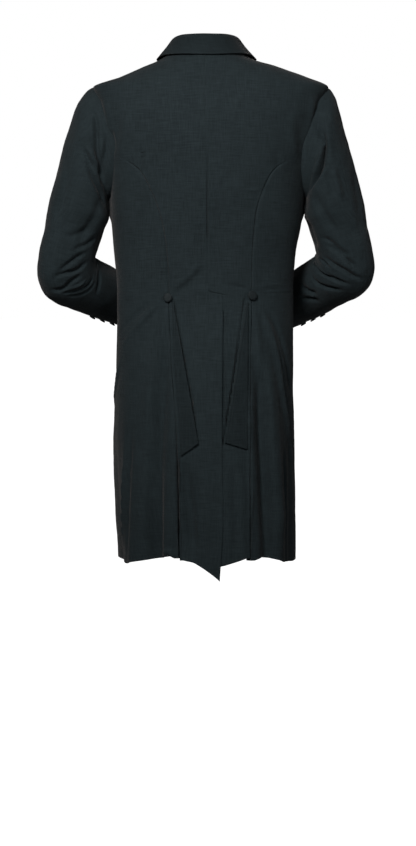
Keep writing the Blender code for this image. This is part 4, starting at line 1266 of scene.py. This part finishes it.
def sew_on(model, name, cad, at, normal):
    """A copy of the model button with its own mesh, set on the cloth."""
    copy = bpy.data.objects.new(name, model.data.copy())
    bpy.context.scene.collection.objects.link(copy)
    turn = Vector(normal).to_track_quat("Z", "Y").to_matrix().to_4x4()
    copy.data.transform(Matrix.Translation(Vector(at)) @ turn)
    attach(copy, "root")
    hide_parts(cad)
    return copy


CUFF_BUTTONS_AT = (0.036, 0.067, 0.098)  # distances from the end of the sleeve
small = covered_button(CUFF_BUTTON, BUTTON_WOOL)
for tag, side in SIDES:
    start, fore, length, inner, outward = arms[tag]
    shares = (0.0, *(row[0] for row in FOREARM))
    widths = (ELBOW[-1][2], *(row[2] for row in FOREARM))
    thicks = (ELBOW[-1][3], *(row[3] for row in FOREARM))
    for number, distance in enumerate(CUFF_BUTTONS_AT, 1):
        share = 1 - distance / length
        w, t = np.interp(share, shares, widths), np.interp(share, shares, thicks)
        a = math.radians(168)
        at = start + fore * length * share + inner * w * math.cos(a) + outward * t * math.sin(a)
        normal = unit(inner * math.cos(a) / w + outward * math.sin(a) / t)
        name = f"cuff_button_{tag}{number}"
        sew_on(small, "covered_" + name, name, at + normal * 0.0004, normal)
bpy.data.objects.remove(small)

large = covered_button(HIP_BUTTON, BUTTON_WOOL)
HIP_BUTTONS = {"l": (0.0775, -0.480), "r": (-0.0875, -0.4755)}
for tag, (x, z) in HIP_BUTTONS.items():
    point, normal = body_frame(turn_at(np.float64(x), z), np.float64(z))
    sew_on(large, "covered_hip_button_" + tag, "hip_button_" + tag, point + normal * 0.0016, normal)
for number, z in enumerate((-0.300, -0.375, -0.450), 1):
    point, normal = body_frame(turn_in_front(np.float64(0), z, 1), np.float64(z))
    name = f"front_button_{number}"
    sew_on(large, "covered_" + name, name, point + normal * (LAYER + 0.0008), normal)
bpy.data.objects.remove(large)

# ---- Floor, light and camera -----------------------------------------------------------------
# A pale floor at the wearer's soles, a bright soft room, and the camera behind the coat, level
# with the waist.

FLOOR_Z = -1.514
bpy.ops.mesh.primitive_plane_add(size=400, location=(0, 0, FLOOR_Z))
floor = bpy.context.object
floor.name = "floor"
paint = bpy.data.materials.new("pale_floor")
paint.use_nodes = True
paint.node_tree.nodes["Principled BSDF"].inputs["Base Color"].default_value = (0.92, 0.92, 0.92, 1)
paint.node_tree.nodes["Principled BSDF"].inputs["Roughness"].default_value = 0.9
paint.node_tree.nodes["Principled BSDF"].inputs["Emission Color"].default_value = (1, 1, 1, 1)
paint.node_tree.nodes["Principled BSDF"].inputs["Emission Strength"].default_value = 1.0
floor.data.materials.append(paint)
floor.visible_diffuse = floor.visible_glossy = floor.visible_shadow = False

room = bpy.data.worlds.new("white_room")
bpy.context.scene.world = room
room.use_nodes = True
add, join, maths = nodes_of(room.node_tree)
seen = add("ShaderNodeLightPath")
behind_all = room.node_tree.nodes["Background"]
behind_all.inputs[0].default_value = (1.0, 1.0, 1.0, 1)
strength = maths("ADD", maths("MULTIPLY", seen.outputs["Is Camera Ray"], 0.87), 0.13)
join(strength, behind_all.inputs[1])


def soft_light(name, at, target, size, power, spread):
    light = bpy.data.lights.new(name, "AREA")
    light.shape, light.size, light.energy = "DISK", size, power
    light.spread = math.radians(spread)
    lamp = bpy.data.objects.new(name, light)
    bpy.context.scene.collection.objects.link(lamp)
    lamp.location = at
    lamp.rotation_euler = (Vector(target) - Vector(at)).to_track_quat("-Z", "Y").to_euler()


soft_light("key", (0.85, 2.4, 1.05), (0.0, 0.0, -0.32), 0.95, 11.4, 58)
soft_light("fill", (-1.8, 2.8, 0.6), (0.0, 0.0, -0.3), 1.6, 3.4, 70)

bpy.context.scene.view_settings.view_transform = "Standard"
lens = bpy.data.cameras.new("camera")
lens.sensor_width, lens.lens = 36.0, 106.4
lens.shift_y = -0.136
camera = bpy.data.objects.new("camera", lens)
bpy.context.scene.collection.objects.link(camera)
camera.location = (-0.001, 5.0, -0.5)
camera.rotation_euler = (math.radians(90), 0, math.radians(180))
bpy.context.scene.camera = camera
